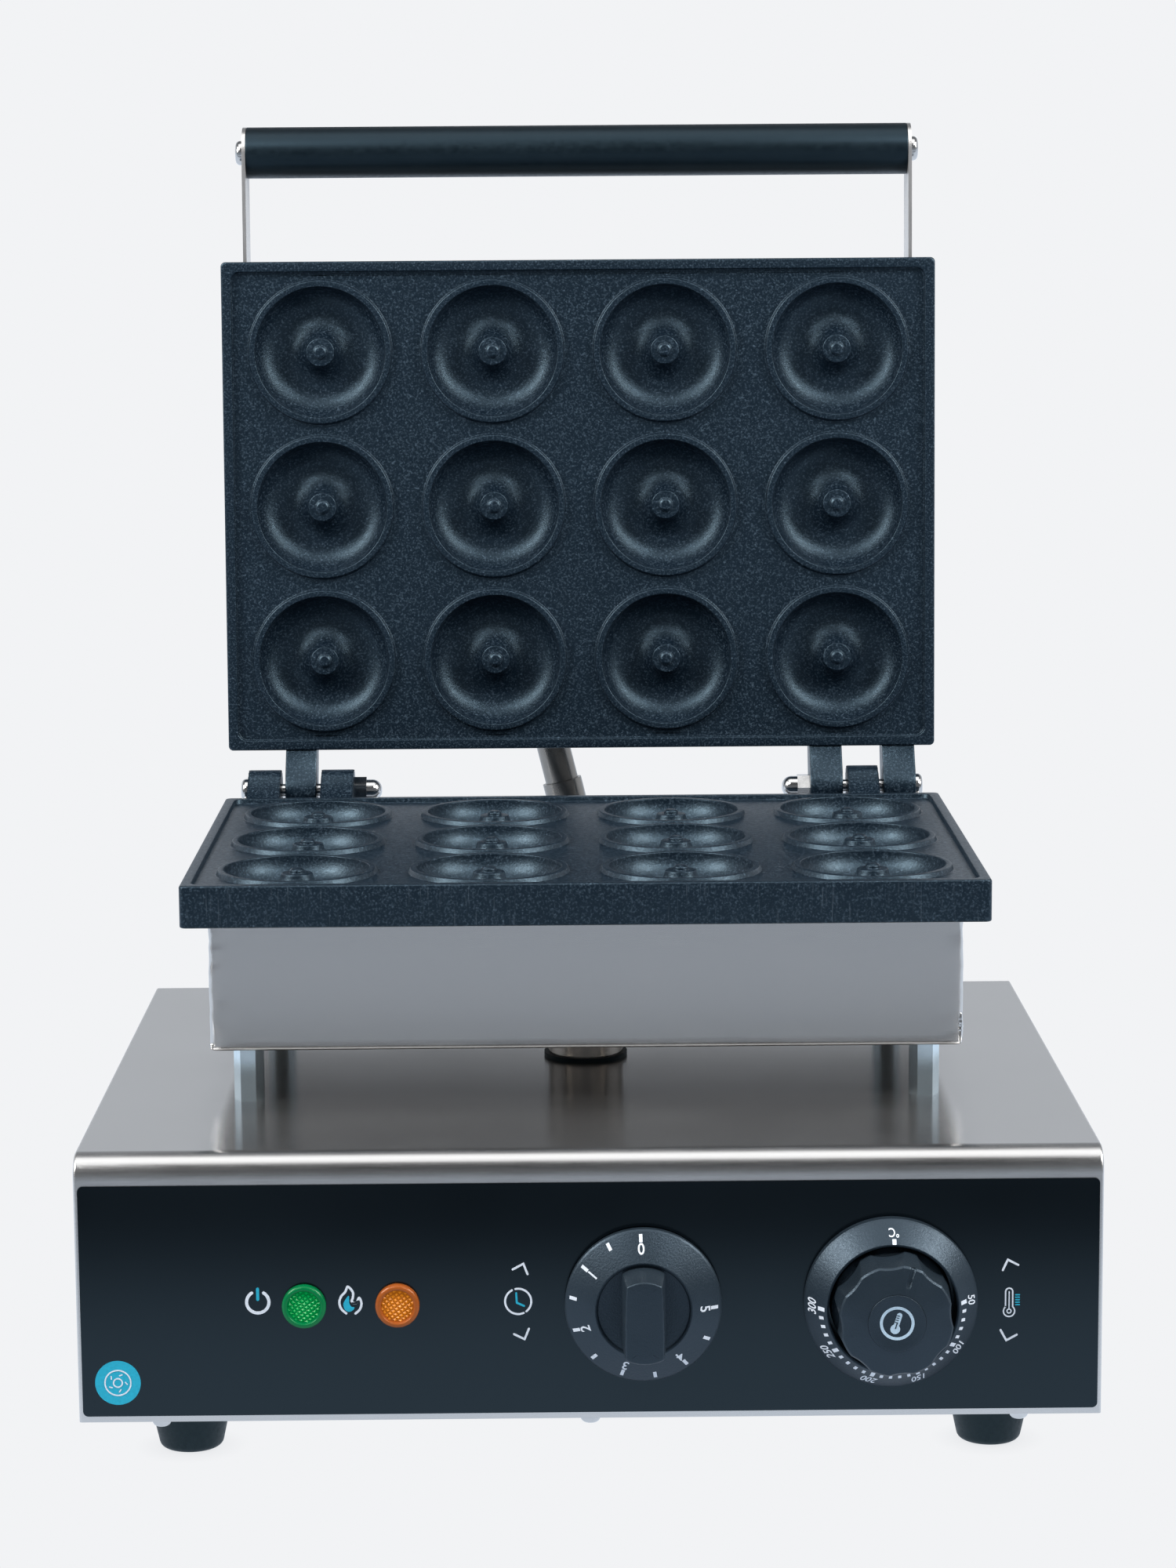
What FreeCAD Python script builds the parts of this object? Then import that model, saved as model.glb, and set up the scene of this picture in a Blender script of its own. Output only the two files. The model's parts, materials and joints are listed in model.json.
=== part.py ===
import FreeCAD, Part
import math
import os
from FreeCAD import Vector

os.makedirs("parts", exist_ok=True)

# Donut maker with twelve ring moulds, shown with its lid open. Millimetres; +X is right, +Y is
# to the rear and +Z is up. Everything is built with y = 0 at the back edge of the mould plates
# and z = 0 on the supporting surface, then moved along Y until the origin is under the middle
# of the object's box.

# Feet and base box
FOOT_H = 16.5
FOOT_TOP_R = 15.0
FOOT_BOTTOM_R = 11.2
FOOT_X = 148.0
FOOT_INSET = 24.0                 # foot centre, in from the front and rear faces
BASE_W = 373.0
BASE_D = 297.4
BASE_H = 99.3
BASE_REAR_Y = 17.4
FRONT_BEND_R = 9.0
REAR_BEND_R = 3.0
SIDE_EDGE_R = 1.0
SHEET = 1.2
FLANGE_W = 14.0                   # return flange that the bottom plate is screwed to
BASE_SCREW_X = 156.8
BASE_SCREW_INSET = 6.0
M5_LENGTH = 12.0                   # screws of the feet and the standoffs
VENT_LENGTH = 46.0
VENT_W = 4.0
VENT_PITCH = 12.0

# Front panel
OVERLAY_T = 0.4
OVERLAY_W = 370.0
OVERLAY_LOW = 2.3                 # overlay edges, above the bottom of the base box
OVERLAY_HIGH = 88.5
CONTROL_H = 43.5                  # control centres, above the bottom of the base box
GREEN_X = -103.7
AMBER_X = -69.8
TIMER_X = 19.4
THERMOSTAT_X = 109.2
LAMP_R = 8.0
LAMP_NECK_R = 6.0
LAMP_PROUD = 3.2
SHAFT_R = 3.0
SHAFT_PLAY = 0.05
DIAL_R = 28.5
DIAL_EDGE = 2.6                   # height of the dial's upright edge
DIAL_TOP = 9.8
DIAL_WELL_R = 16.9
DIAL_WELL_FLOOR = 8.6
GRIP_W = 16.0
GRIP_TAPER = 1.5
GRIP_GAP = 0.9                    # between the grip's ends and the wall of the dial's well
GRIP_PROUD = 26.0
SCALE_RING_R = 31.5
SCALE_EDGE = 3.4                  # height of the scale ring's upright edge
SCALE_TOP = 12.0
SCALE_HOLE_R = 23.2
KNOB_R = 22.3
KNOB_RIM_R = 20.6                 # at the edge of the sloping face
KNOB_RIM_PROUD = 26.0
KNOB_PROUD = 27.9                 # where the face meets the cap
CAP_R = 10.4
CAP_CROWN = 0.4                   # the cap's edge above the face
CAP_DISH = 0.7
CAP_DISH_R = 69.0
SCALLOP_R = 18.0
SCALLOP_DEPTH = 2.7
POINTER_ANGLE = 17.0              # clockwise from the top, where the thermostat knob rests
KNOB_GAP = 1.0                    # air between the overlay and the back of each knob
CONTROL_SCREW_SPAN = 28.0
CONTROL_SCREW_R = 2.0

# Stand between base and lower housing
STANDOFF_H = 20.6
STANDOFF_FLATS = 10.0
STUD_X = 129.3
STUD_R = 2.5
PIPE_R = 15.0
PIPE_BORE_R = 13.0
PIPE_Y = -120.0
GASKET_R = 16.6
GASKET_T = 1.6

# Housings
HOUSING_W = 287.0
HOUSING_D = 191.0
HOUSING_H = 49.4
HOUSING_INSET = 10.0              # rear wall, in from the plate's back edge
HOUSING_WALL = 1.0
HOUSING_EDGE_R = 2.5
STUD_INSET = 9.3                  # stud centre, in from the housing's front and rear faces

# Mould plates: two equal castings, the lid's one turned over
PLATE_W = 306.0
PLATE_D = 210.0
PLATE_T = 16.2
PLATE_CORNER_R = 2.0
RIM_W = 4.3
FIELD_DEPTH = 2.0
FIELD_CORNER_R = 4.0
MOULD_PITCH_X = 74.0
MOULD_PITCH_Y = 66.4
MOULD_COLUMNS = 4
MOULD_ROWS = 3
LIP_R = 30.5
LIP_FOOT_R = 31.4
CAVITY_R = 16.9                   # middle circle of the half-round ring cavity
CAVITY_SECTION_R = 11.1
NUB_R = 2.9
POST_DROP = 2.0
HALF_GAP = 0.2                    # each plate's rim stays this far from the closing plane

# Hinges
HINGE_OFFSET = 17.5
HINGE_X = 121.5
KNUCKLE_R = 9.0
EAR_W = 14.0
LUG_W = 13.3
KNUCKLE_GAP = 2.1
BOLT_R = 3.0
BOLT_HEAD_R = 5.25
BOLT_HEAD_H = 3.3
NUT_FLATS = 10.0
NUT_H = 12.0
OPEN_ANGLE = 93.0

# Handle
HANDLE_REACH = 48.0               # tube axis, in front of the closed lid's front edge
HANDLE_H = 33.0                   # tube axis, above the closing plane
HANDLE_R = 11.0
TIE_ROD_R = 5.0
BAR_T = 1.5
BAR_W = 22.0
BAR_REAR_Y = -125.0

# Heater stack
HEATER_R = 4.0
HEATER_RUN = 87.0                 # half length of a straight run
HEATER_PITCH = 56.0
CLAMP_T = 2.0
CLAMP_W = 240.0
CLAMP_D = 170.0
CLAMP_SCREW_X = 74.0
INSULATION_W = 236.0
INSULATION_D = 160.0
INSULATION_T = 18.0

# Conduit to the lid
CONDUIT_X = -15.6
CONDUIT_SLANT = 13.8              # degrees, towards +X
CONDUIT_R = 7.3
CONDUIT_WALL = 1.0
CONDUIT_LENGTH = 35.0
FERRULE_R = 8.7
FERRULE_LENGTH = 9.0
HOSE_R = 5.6
HOSE_X = 22.0
HOSE_DROP = 52.0                  # gland centre, below the closing plane
HOSE_GAP = 0.3                    # air between the lid's ferrule and the hose
HOSE_GLAND_H = 13.0

# Mains entry
GLAND_X = -130.0
GLAND_H = 34.0
GLAND_BORE_R = 4.6

# Levels and planes that follow from the sizes above
BASE_TOP = FOOT_H + BASE_H
BASE_FRONT_Y = BASE_REAR_Y - BASE_D
HOUSING_BOTTOM = BASE_TOP + STANDOFF_H
PLATE_BOTTOM = HOUSING_BOTTOM + HOUSING_H
PLATE_TOP = PLATE_BOTTOM + PLATE_T
CLOSING_Z = PLATE_TOP + HALF_GAP
HOUSING_REAR_Y = -HOUSING_INSET
HOUSING_FRONT_Y = HOUSING_REAR_Y - HOUSING_D
HOUSING_MIDDLE_Y = (HOUSING_FRONT_Y + HOUSING_REAR_Y) / 2
CONTROL_Z = FOOT_H + CONTROL_H
PANEL_Y = BASE_FRONT_Y - OVERLAY_T
KNOB_BACK_Y = PANEL_Y - KNOB_GAP
STUD_PLACES = [(x, y) for x in (-STUD_X, STUD_X)
               for y in (HOUSING_FRONT_Y + STUD_INSET, HOUSING_REAR_Y - STUD_INSET)]
UP = Vector(0, 0, 1)
LEFT = Vector(-1, 0, 0)
RIGHT = Vector(1, 0, 0)
FORWARD = Vector(0, -1, 0)
REARWARD = Vector(0, 1, 0)

nodes = {}


# ---------------------------------------------------------------- shape helpers

def box(x0, x1, y0, y1, z0, z1):
    return Part.makeBox(x1 - x0, y1 - y0, z1 - z0, Vector(x0, y0, z0))


def rod(radius, start, direction, length):
    return Part.makeCylinder(radius, length, start, direction)


def aim(shape, start, direction):
    """Move a shape that was built along +Z from the origin to a start point and direction."""
    turned = shape.copy()
    turned.Placement = FreeCAD.Placement(start, FreeCAD.Rotation(UP, direction))
    return turned


def fuse(first, others):
    return first.fuse(list(others)).removeSplitter()


def rounded_outline(corners, to_space):
    """Closed wire through (u, v, radius) corners, each corner rounded by a tangent arc."""
    arcs = []
    for i, (u, v, radius) in enumerate(corners):
        here = Vector(u, v, 0)
        before = Vector(corners[i - 1][0], corners[i - 1][1], 0)
        after = Vector(corners[(i + 1) % len(corners)][0], corners[(i + 1) % len(corners)][1], 0)
        back = (before - here).normalize()
        on = (after - here).normalize()
        half = back.getAngle(on) / 2
        cut = radius / math.tan(half)
        centre = here + (back + on).normalize() * (radius / math.sin(half))
        middle = centre + (here - centre).normalize() * radius if radius else here
        arcs.append((here + back * cut, middle, here + on * cut, radius))
    edges = []
    for i, (start, middle, end, radius) in enumerate(arcs):
        if radius:
            points = [to_space(p.x, p.y) for p in (start, middle, end)]
            edges.append(Part.Arc(*points).toShape())
        following = arcs[(i + 1) % len(arcs)][0]
        edges.append(Part.LineSegment(to_space(end.x, end.y), to_space(following.x, following.y)).toShape())
    return Part.Wire(edges)


def rounded_box(x0, x1, y0, y1, z0, z1, radius):
    """Box whose four vertical edges are rounded."""
    corners = [(x0, y0, radius), (x1, y0, radius), (x1, y1, radius), (x0, y1, radius)]
    outline = rounded_outline(corners, lambda u, v: Vector(u, v, z0))
    return Part.Face(outline).extrude(Vector(0, 0, z1 - z0))


def side_profile(corners, x0, x1):
    """Solid extruded along X from a (y, z, radius) outline."""
    outline = rounded_outline(corners, lambda u, v: Vector(x0, u, v))
    return Part.Face(outline).extrude(Vector(x1 - x0, 0, 0))


def turned(profile):
    """Solid of revolution about Z from (r, z) points."""
    points = [Vector(r, 0, z) for r, z in profile]
    face = Part.Face(Part.makePolygon(points + points[:1]))
    return face.revolve(Vector(0, 0, 0), UP, 360)


def hexagon(flats, height):
    """Hexagonal prism on the origin, along +Z."""
    corner_r = flats / math.sqrt(3)
    points = [Vector(corner_r * math.cos(math.radians(60 * i)), corner_r * math.sin(math.radians(60 * i)), 0)
              for i in range(6)]
    return Part.Face(Part.makePolygon(points + points[:1])).extrude(Vector(0, 0, height))


def soften(shape, radius, chosen):
    """Round the edges that the test picks."""
    return shape.makeFillet(radius, [edge for edge in shape.Edges if chosen(edge)])


def screw(head_r, head_h, shank_r, length):
    """Domed screw on the origin: head below z = 0, shank above it, hexagonal socket in the head."""
    head = rod(head_r, Vector(0, 0, -head_h), UP, head_h)
    head = soften(head, head_h * 0.6, lambda edge: edge.BoundBox.ZMax < -head_h + 0.01)
    socket = hexagon(head_r * 0.75, head_h * 0.55)
    socket.translate(Vector(0, 0, -head_h))
    return fuse(head, [rod(shank_r, Vector(0, 0, 0), UP, length)]).cut(socket)


def acorn_nut(flats, height, bore_r, depth):
    """Domed nut on the origin, along +Z, bored from its flat face."""
    hex_h = height * 0.45
    dome_r = flats * 0.46
    dome = rod(dome_r, Vector(0, 0, 0), UP, height)
    dome = soften(dome, dome_r * 0.9, lambda edge: edge.BoundBox.ZMin > height - 0.01)
    return fuse(hexagon(flats, hex_h), [dome]).cut(rod(bore_r, Vector(0, 0, 0), UP, depth))


def routed_tube(points, radius):
    """Round bar along straight runs joined by the largest tangent arcs that the runs allow."""
    edges = []
    start = points[0]
    for before, corner, after in zip(points, points[1:], points[2:]):
        back = (before - corner).normalize()
        on = (after - corner).normalize()
        half = back.getAngle(on) / 2
        cut = 0.45 * min((before - corner).Length, (after - corner).Length)
        bend_r = cut * math.tan(half)
        centre = corner + (back + on).normalize() * (bend_r / math.sin(half))
        middle = centre + (corner - centre).normalize() * bend_r
        edges.append(Part.LineSegment(start, corner + back * cut).toShape())
        edges.append(Part.Arc(corner + back * cut, middle, corner + on * cut).toShape())
        start = corner + on * cut
        print("bend radius", round(bend_r, 1))
    edges.append(Part.LineSegment(start, points[-1]).toShape())
    path = Part.Wire(edges)
    section = Part.Wire(Part.Circle(points[0], points[1] - points[0], radius).toShape())
    tube = path.makePipeShell([section], True, False)
    print("tube length", round(path.Length, 1), "volume ratio",
          round(tube.Volume / (math.pi * radius ** 2 * path.Length), 4))
    return tube


def keep(name, *solids):
    nodes[name] = solids[0] if len(solids) == 1 else Part.makeCompound(list(solids))


def turn_over(shape):
    """The lower half's piece as it lies in the closed lid: half a turn about the Y direction."""
    other = shape.copy()
    other.rotate(Vector(0, 0, CLOSING_Z), REARWARD, 180)
    return other


def open_lid(shape):
    """Swing a piece of the closed lid up to the open stop."""
    other = shape.copy()
    other.rotate(Vector(0, HINGE_OFFSET, CLOSING_Z), RIGHT, -OPEN_ANGLE)
    return other


# ---------------------------------------------------------------- base box

def base_shell():
    """Folded box, open below, with return flanges for the bottom plate."""
    x = BASE_W / 2
    outer = side_profile([(BASE_FRONT_Y, FOOT_H, 0), (BASE_FRONT_Y, BASE_TOP, FRONT_BEND_R),
                          (BASE_REAR_Y, BASE_TOP, REAR_BEND_R), (BASE_REAR_Y, FOOT_H, 0)], -x, x)
    outer = soften(outer, SIDE_EDGE_R, lambda edge: edge.BoundBox.XLength < 0.01
                   and edge.BoundBox.ZMin > FOOT_H + 0.01)
    front = BASE_FRONT_Y + SHEET
    rear = BASE_REAR_Y - SHEET
    hollow = side_profile([(front, FOOT_H - SHEET, 0), (front, BASE_TOP - SHEET, FRONT_BEND_R - SHEET),
                           (rear, BASE_TOP - SHEET, REAR_BEND_R - SHEET), (rear, FOOT_H - SHEET, 0)],
                          -x + SHEET, x - SHEET)
    flange_z = FOOT_H + SHEET
    ring = box(-x + SHEET, x - SHEET, front, rear, flange_z, flange_z + SHEET)
    window = box(-x + FLANGE_W, x - FLANGE_W, BASE_FRONT_Y + FLANGE_W, BASE_REAR_Y - FLANGE_W,
                 flange_z - SHEET, flange_z + 2 * SHEET)
    shell = fuse(outer.cut(hollow), [ring.cut(window)])
    reach = 4 * SHEET
    into_front = Vector(0, 1, 0)
    holes = [rod(LAMP_NECK_R, Vector(lamp_x, BASE_FRONT_Y - SHEET, CONTROL_Z), into_front, reach)
             for lamp_x in (GREEN_X, AMBER_X)]
    for knob_x in (TIMER_X, THERMOSTAT_X):
        holes.append(rod(2 * SHAFT_R, Vector(knob_x, BASE_FRONT_Y - SHEET, CONTROL_Z), into_front, reach))
    for screw_x, screw_z in control_screw_places():
        holes.append(rod(CONTROL_SCREW_R, Vector(screw_x, BASE_FRONT_Y - SHEET, screw_z), into_front, reach))
    holes.append(rod(PIPE_R, Vector(0, PIPE_Y, BASE_TOP - 2 * SHEET), UP, reach))
    holes += [rod(STUD_R, Vector(px, py, BASE_TOP - 2 * SHEET), UP, reach) for px, py in STUD_PLACES]
    holes.append(rod(1.7 * GLAND_BORE_R, Vector(GLAND_X, BASE_REAR_Y - 2 * SHEET, FOOT_H + GLAND_H),
                     REARWARD, reach))
    holes += [rod(2.0, Vector(px, py, FOOT_H), UP, reach) for px, py in base_screw_places()]
    keep("base_shell", shell.cut(holes))


def base_screw_places():
    front = BASE_FRONT_Y + BASE_SCREW_INSET
    rear = BASE_REAR_Y - BASE_SCREW_INSET
    return [(x, y) for y in (front, rear) for x in (-BASE_SCREW_X, 0.0, BASE_SCREW_X)]


def foot_places():
    """Node name, x and y of each foot."""
    rows = (("front", BASE_FRONT_Y + FOOT_INSET), ("rear", BASE_REAR_Y - FOOT_INSET))
    sides = (("left", -FOOT_X), ("right", FOOT_X))
    return [(f"foot_{row}_{side}", x, y) for row, y in rows for side, x in sides]


def control_screw_places():
    return [(x + side * CONTROL_SCREW_SPAN / 2, CONTROL_Z)
            for x in (TIMER_X, THERMOSTAT_X) for side in (-1, 1)]


def bottom_plate():
    x = BASE_W / 2 - SHEET - 0.2
    plate = box(-x, x, BASE_FRONT_Y + SHEET + 0.2, BASE_REAR_Y - SHEET - 0.2, FOOT_H, FOOT_H + SHEET)
    cuts = [rod(2.0, Vector(px, py, FOOT_H - 1), UP, 4) for px, py in base_screw_places()]
    cuts += [rod(STUD_R, Vector(px, py, FOOT_H - 1), UP, 4) for name, px, py in foot_places()]
    for side in (-1, 1):
        for row in range(5):
            y = HOUSING_MIDDLE_Y - 20 + (row - 2) * VENT_PITCH
            middle = side * BASE_W / 5
            cuts.append(rounded_box(middle - VENT_LENGTH / 2, middle + VENT_LENGTH / 2, y, y + VENT_W,
                                    FOOT_H - 1, FOOT_H + 3, VENT_W / 2 - 0.01))
    keep("bottom_plate", plate.cut(cuts))
    keep("bottom_plate_screws", *[aim(screw(3.7, 3.2, 2.0, 3 * SHEET + 4), Vector(px, py, FOOT_H), UP)
                                  for px, py in base_screw_places()])


def feet():
    recess_r = 5.0
    recess_h = 7.5
    for name, x, y in foot_places():
        foot = Part.makeCone(FOOT_BOTTOM_R, FOOT_TOP_R, FOOT_H, Vector(x, y, 0))
        foot = soften(foot, 2.5, lambda edge: edge.BoundBox.ZMax < 0.01)
        bore = rod(recess_r, Vector(x, y, 0), UP, recess_h).fuse(rod(STUD_R, Vector(x, y, 0), UP, FOOT_H))
        keep(name, foot.cut(bore))
    places = [Vector(x, y, recess_h) for name, x, y in foot_places()]
    places += [Vector(x, y, BASE_TOP - SHEET) for x, y in STUD_PLACES]
    fastener = screw(4.5, 3.0, STUD_R, M5_LENGTH)
    keep("foot_and_standoff_screws", *[aim(fastener, place, UP) for place in places])


def front_overlay():
    low = FOOT_H + OVERLAY_LOW
    high = FOOT_H + OVERLAY_HIGH
    sheet = box(-OVERLAY_W / 2, OVERLAY_W / 2, PANEL_Y, BASE_FRONT_Y, low, high)
    sheet = soften(sheet, 2.0, lambda edge: edge.BoundBox.XLength < 0.01 and edge.BoundBox.ZLength < 0.01)
    start_y = PANEL_Y - 1
    holes = [rod(LAMP_NECK_R, Vector(x, start_y, CONTROL_Z), REARWARD, 3) for x in (GREEN_X, AMBER_X)]
    holes += [rod(2 * SHAFT_R, Vector(x, start_y, CONTROL_Z), REARWARD, 3) for x in (TIMER_X, THERMOSTAT_X)]
    holes += [rod(CONTROL_SCREW_R, Vector(x, start_y, z), REARWARD, 3) for x, z in control_screw_places()]
    keep("front_overlay", sheet.cut(holes))


# ---------------------------------------------------------------- controls

def control_body(x, width, height, depth):
    """Box of a timer or thermostat behind the panel, with its shaft bore and screw holes."""
    inner_y = BASE_FRONT_Y + SHEET
    body = box(x - width / 2, x + width / 2, inner_y, inner_y + depth, CONTROL_Z - height / 2,
               CONTROL_Z + height / 2)
    cuts = [rod(SHAFT_R + SHAFT_PLAY, Vector(x, inner_y, CONTROL_Z), REARWARD, 14)]
    cuts += [rod(CONTROL_SCREW_R, Vector(px, inner_y, z), REARWARD, 7) for px, z in control_screw_places()]
    return body.cut(cuts)


def knob_shaft(x, knob_depth):
    """Shaft from inside the control's body to its seat in the knob."""
    rear_y = BASE_FRONT_Y + SHEET + 13
    return rod(SHAFT_R, Vector(x, rear_y, CONTROL_Z), FORWARD, rear_y - KNOB_BACK_Y + knob_depth)


def timer():
    keep("timer_body", control_body(TIMER_X, 48.0, 48.0, 38.0))
    keep("timer_shaft", knob_shaft(TIMER_X, 12.0))
    dial = turned([(0, 0), (8, 0), (8, 1.8), (DIAL_R - 2.5, 1.8), (DIAL_R - 2.5, 0), (DIAL_R, 0),
                   (DIAL_R, DIAL_EDGE), (DIAL_R - 0.6, DIAL_EDGE + 0.7), (DIAL_WELL_R + 0.7, DIAL_TOP),
                   (DIAL_WELL_R, DIAL_TOP - 0.3), (DIAL_WELL_R - 0.3, DIAL_WELL_FLOOR), (0, DIAL_WELL_FLOOR)])
    length = 2 * (DIAL_WELL_R - GRIP_GAP)
    grip = tapered_bar(GRIP_W, GRIP_W - GRIP_TAPER, length, DIAL_WELL_FLOOR - 0.4, GRIP_PROUD)
    grip = grip.common(Part.makeCone(length / 2, length / 2 - GRIP_TAPER / 2, GRIP_PROUD))
    grip = soften(grip, 1.6, lambda edge: edge.BoundBox.ZMin > GRIP_PROUD - 0.01)
    knob = fuse(dial, [grip]).cut(rod(SHAFT_R, Vector(0, 0, 0), UP, 12.0))
    keep("timer_knob", aim(knob, Vector(TIMER_X, KNOB_BACK_Y, CONTROL_Z), FORWARD))


def tapered_bar(foot_w, crest_w, length, z0, z1):
    """Bar whose length runs along Y and whose two long sides lean in from z0 to z1."""
    points = [Vector(-foot_w / 2, -length / 2, z0), Vector(foot_w / 2, -length / 2, z0),
              Vector(crest_w / 2, -length / 2, z1), Vector(-crest_w / 2, -length / 2, z1)]
    return Part.Face(Part.makePolygon(points + points[:1])).extrude(Vector(0, length, 0))


def thermostat():
    keep("thermostat_body", control_body(THERMOSTAT_X, 50.0, 60.0, 40.0))
    keep("thermostat_shaft", knob_shaft(THERMOSTAT_X, 14.0))
    ring = turned([(SCALE_HOLE_R, 0), (SCALE_RING_R, 0), (SCALE_RING_R, SCALE_EDGE),
                   (SCALE_RING_R - 0.6, SCALE_EDGE + 0.8), (SCALE_HOLE_R + 0.8, SCALE_TOP),
                   (SCALE_HOLE_R, SCALE_TOP - 0.4)])
    keep("thermostat_scale_ring", aim(ring, Vector(THERMOSTAT_X, PANEL_Y, CONTROL_Z), FORWARD))
    body = turned([(0, 0), (8, 0), (8, 3), (KNOB_R - 2, 3), (KNOB_R - 2, 0), (KNOB_R, 0),
                   (KNOB_RIM_R, KNOB_RIM_PROUD - 0.8), (KNOB_RIM_R - 0.7, KNOB_RIM_PROUD), (CAP_R, KNOB_PROUD),
                   (CAP_R, KNOB_PROUD - 2.0), (0, KNOB_PROUD - 2.0)])
    away = KNOB_R + SCALLOP_R - SCALLOP_DEPTH
    angles = [math.radians(90 - POINTER_ANGLE + 22.5 + 45 * i) for i in range(8)]
    scallops = [rod(SCALLOP_R, Vector(away * math.cos(a), away * math.sin(a), 7.0), UP, KNOB_PROUD)
                for a in angles]
    slope = (KNOB_PROUD - KNOB_RIM_PROUD) / (KNOB_RIM_R - 0.7 - CAP_R)
    groove = [Vector(r, -0.6, KNOB_PROUD - 0.6 - slope * (r - CAP_R)) for r in (CAP_R + 3, KNOB_R)]
    groove += [Vector(r, -0.6, KNOB_PROUD + 1) for r in (KNOB_R, CAP_R + 3)]
    pointer = Part.Face(Part.makePolygon(groove + groove[:1])).extrude(Vector(0, 1.2, 0))
    pointer.rotate(Vector(0, 0, 0), UP, 90 - POINTER_ANGLE)
    body = body.cut(scallops + [pointer, rod(SHAFT_R, Vector(0, 0, 0), UP, 14.0)])
    start = Vector(THERMOSTAT_X, KNOB_BACK_Y, CONTROL_Z)
    keep("thermostat_knob", aim(body, start, FORWARD))
    cap = rod(CAP_R, Vector(0, 0, KNOB_PROUD - 2.0), UP, 2.0 + CAP_CROWN)
    cap = soften(cap, 0.3, lambda edge: edge.BoundBox.ZMin > KNOB_PROUD)
    cap = cap.cut(Part.makeSphere(CAP_DISH_R, Vector(0, 0, KNOB_PROUD + CAP_CROWN + CAP_DISH_R - CAP_DISH)))
    keep("thermostat_knob_cap", aim(cap, start, FORWARD))


def pilot_lamps():
    inner_y = BASE_FRONT_Y + SHEET
    neck_end = 2.0
    for name, x in (("green_lamp_lens", GREEN_X), ("amber_lamp_lens", AMBER_X)):
        lens = rod(LAMP_R, Vector(x, PANEL_Y, CONTROL_Z), FORWARD, LAMP_PROUD)
        lens = soften(lens, 1.2, lambda edge: edge.BoundBox.YMax < PANEL_Y - LAMP_PROUD + 0.01)
        neck = rod(LAMP_NECK_R, Vector(x, PANEL_Y, CONTROL_Z), REARWARD, inner_y - PANEL_Y + neck_end)
        keep(name, fuse(lens, [neck]))
    bodies = []
    for x in (GREEN_X, AMBER_X):
        body = rod(LAMP_NECK_R + 2.5, Vector(x, inner_y, CONTROL_Z), REARWARD, 24)
        bodies.append(body.cut(rod(LAMP_NECK_R, Vector(x, inner_y, CONTROL_Z), REARWARD, neck_end)))
    keep("pilot_lamp_bodies", *bodies)


def control_screws():
    keep("control_screws", *[aim(screw(3.4, 2.0, CONTROL_SCREW_R, 8.0), Vector(x, PANEL_Y, z), REARWARD)
                             for x, z in control_screw_places()])


def base_electrics():
    floor_z = FOOT_H + SHEET
    block = box(-115, -55, -75, -53, floor_z, floor_z + 20)
    wells = [rod(3.0, Vector(-107 + 11 * i, -64, floor_z + 12), UP, 10) for i in range(5)]
    keep("terminal_block", block.cut(wells))
    cutout = fuse(box(85, 121, -77, -47, floor_z, floor_z + 3), [rod(13, Vector(103, -62, floor_z), UP, 24)])
    keep("overheat_cutout", cutout)
    rise_x = -5.0
    rise_y = PIPE_Y + 3
    keep("base_wiring", routed_tube([Vector(-85, -82, floor_z + 8), Vector(-60, -110, floor_z + 18),
                                     Vector(rise_x - 12, rise_y, BASE_TOP - 45),
                                     Vector(rise_x, rise_y, BASE_TOP - 10),
                                     Vector(rise_x, rise_y, HOUSING_BOTTOM + 24)], 3.2))
    wall_z = FOOT_H + GLAND_H
    outside = fuse(aim(hexagon(22, 6), Vector(GLAND_X, BASE_REAR_Y, wall_z), REARWARD),
                   [rod(9.5, Vector(GLAND_X, BASE_REAR_Y + 6, wall_z), REARWARD, 12)])
    outside = soften(outside, 3.0, lambda edge: edge.BoundBox.YMin > BASE_REAR_Y + 17.9)
    thread = rod(1.7 * GLAND_BORE_R, Vector(GLAND_X, BASE_REAR_Y - 11, wall_z), REARWARD, 11)
    bore = rod(GLAND_BORE_R, Vector(GLAND_X, BASE_REAR_Y - 12, wall_z), REARWARD, 40)
    keep("mains_cable_gland", fuse(outside, [thread]).cut(bore))


# ---------------------------------------------------------------- stand and lower half

def stand():
    bore = rod(STUD_R, Vector(0, 0, 0), UP, STANDOFF_H)
    column = hexagon(STANDOFF_FLATS, STANDOFF_H).cut(bore)
    keep("housing_standoffs", *[aim(column, Vector(x, y, BASE_TOP), UP) for x, y in STUD_PLACES])
    low = BASE_TOP - SHEET - 10
    high = HOUSING_BOTTOM + HOUSING_WALL + 9
    pipe = rod(PIPE_R, Vector(0, PIPE_Y, low), UP, high - low)
    keep("pedestal_pipe", pipe.cut(rod(PIPE_BORE_R, Vector(0, PIPE_Y, low), UP, high - low)))
    gasket = rod(GASKET_R, Vector(0, 0, 0), UP, GASKET_T).cut(rod(PIPE_R, Vector(0, 0, 0), UP, GASKET_T))
    keep("pipe_gaskets", aim(gasket, Vector(0, PIPE_Y, BASE_TOP), UP),
         aim(gasket, Vector(0, PIPE_Y, HOUSING_BOTTOM - GASKET_T), UP))
    nut_h = 6.0
    nut = hexagon(38, nut_h).cut(rod(PIPE_R, Vector(0, 0, 0), UP, nut_h))
    keep("pipe_lock_nuts", aim(nut, Vector(0, PIPE_Y, BASE_TOP - SHEET - nut_h), UP),
         aim(nut, Vector(0, PIPE_Y, HOUSING_BOTTOM + HOUSING_WALL), UP))


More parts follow.
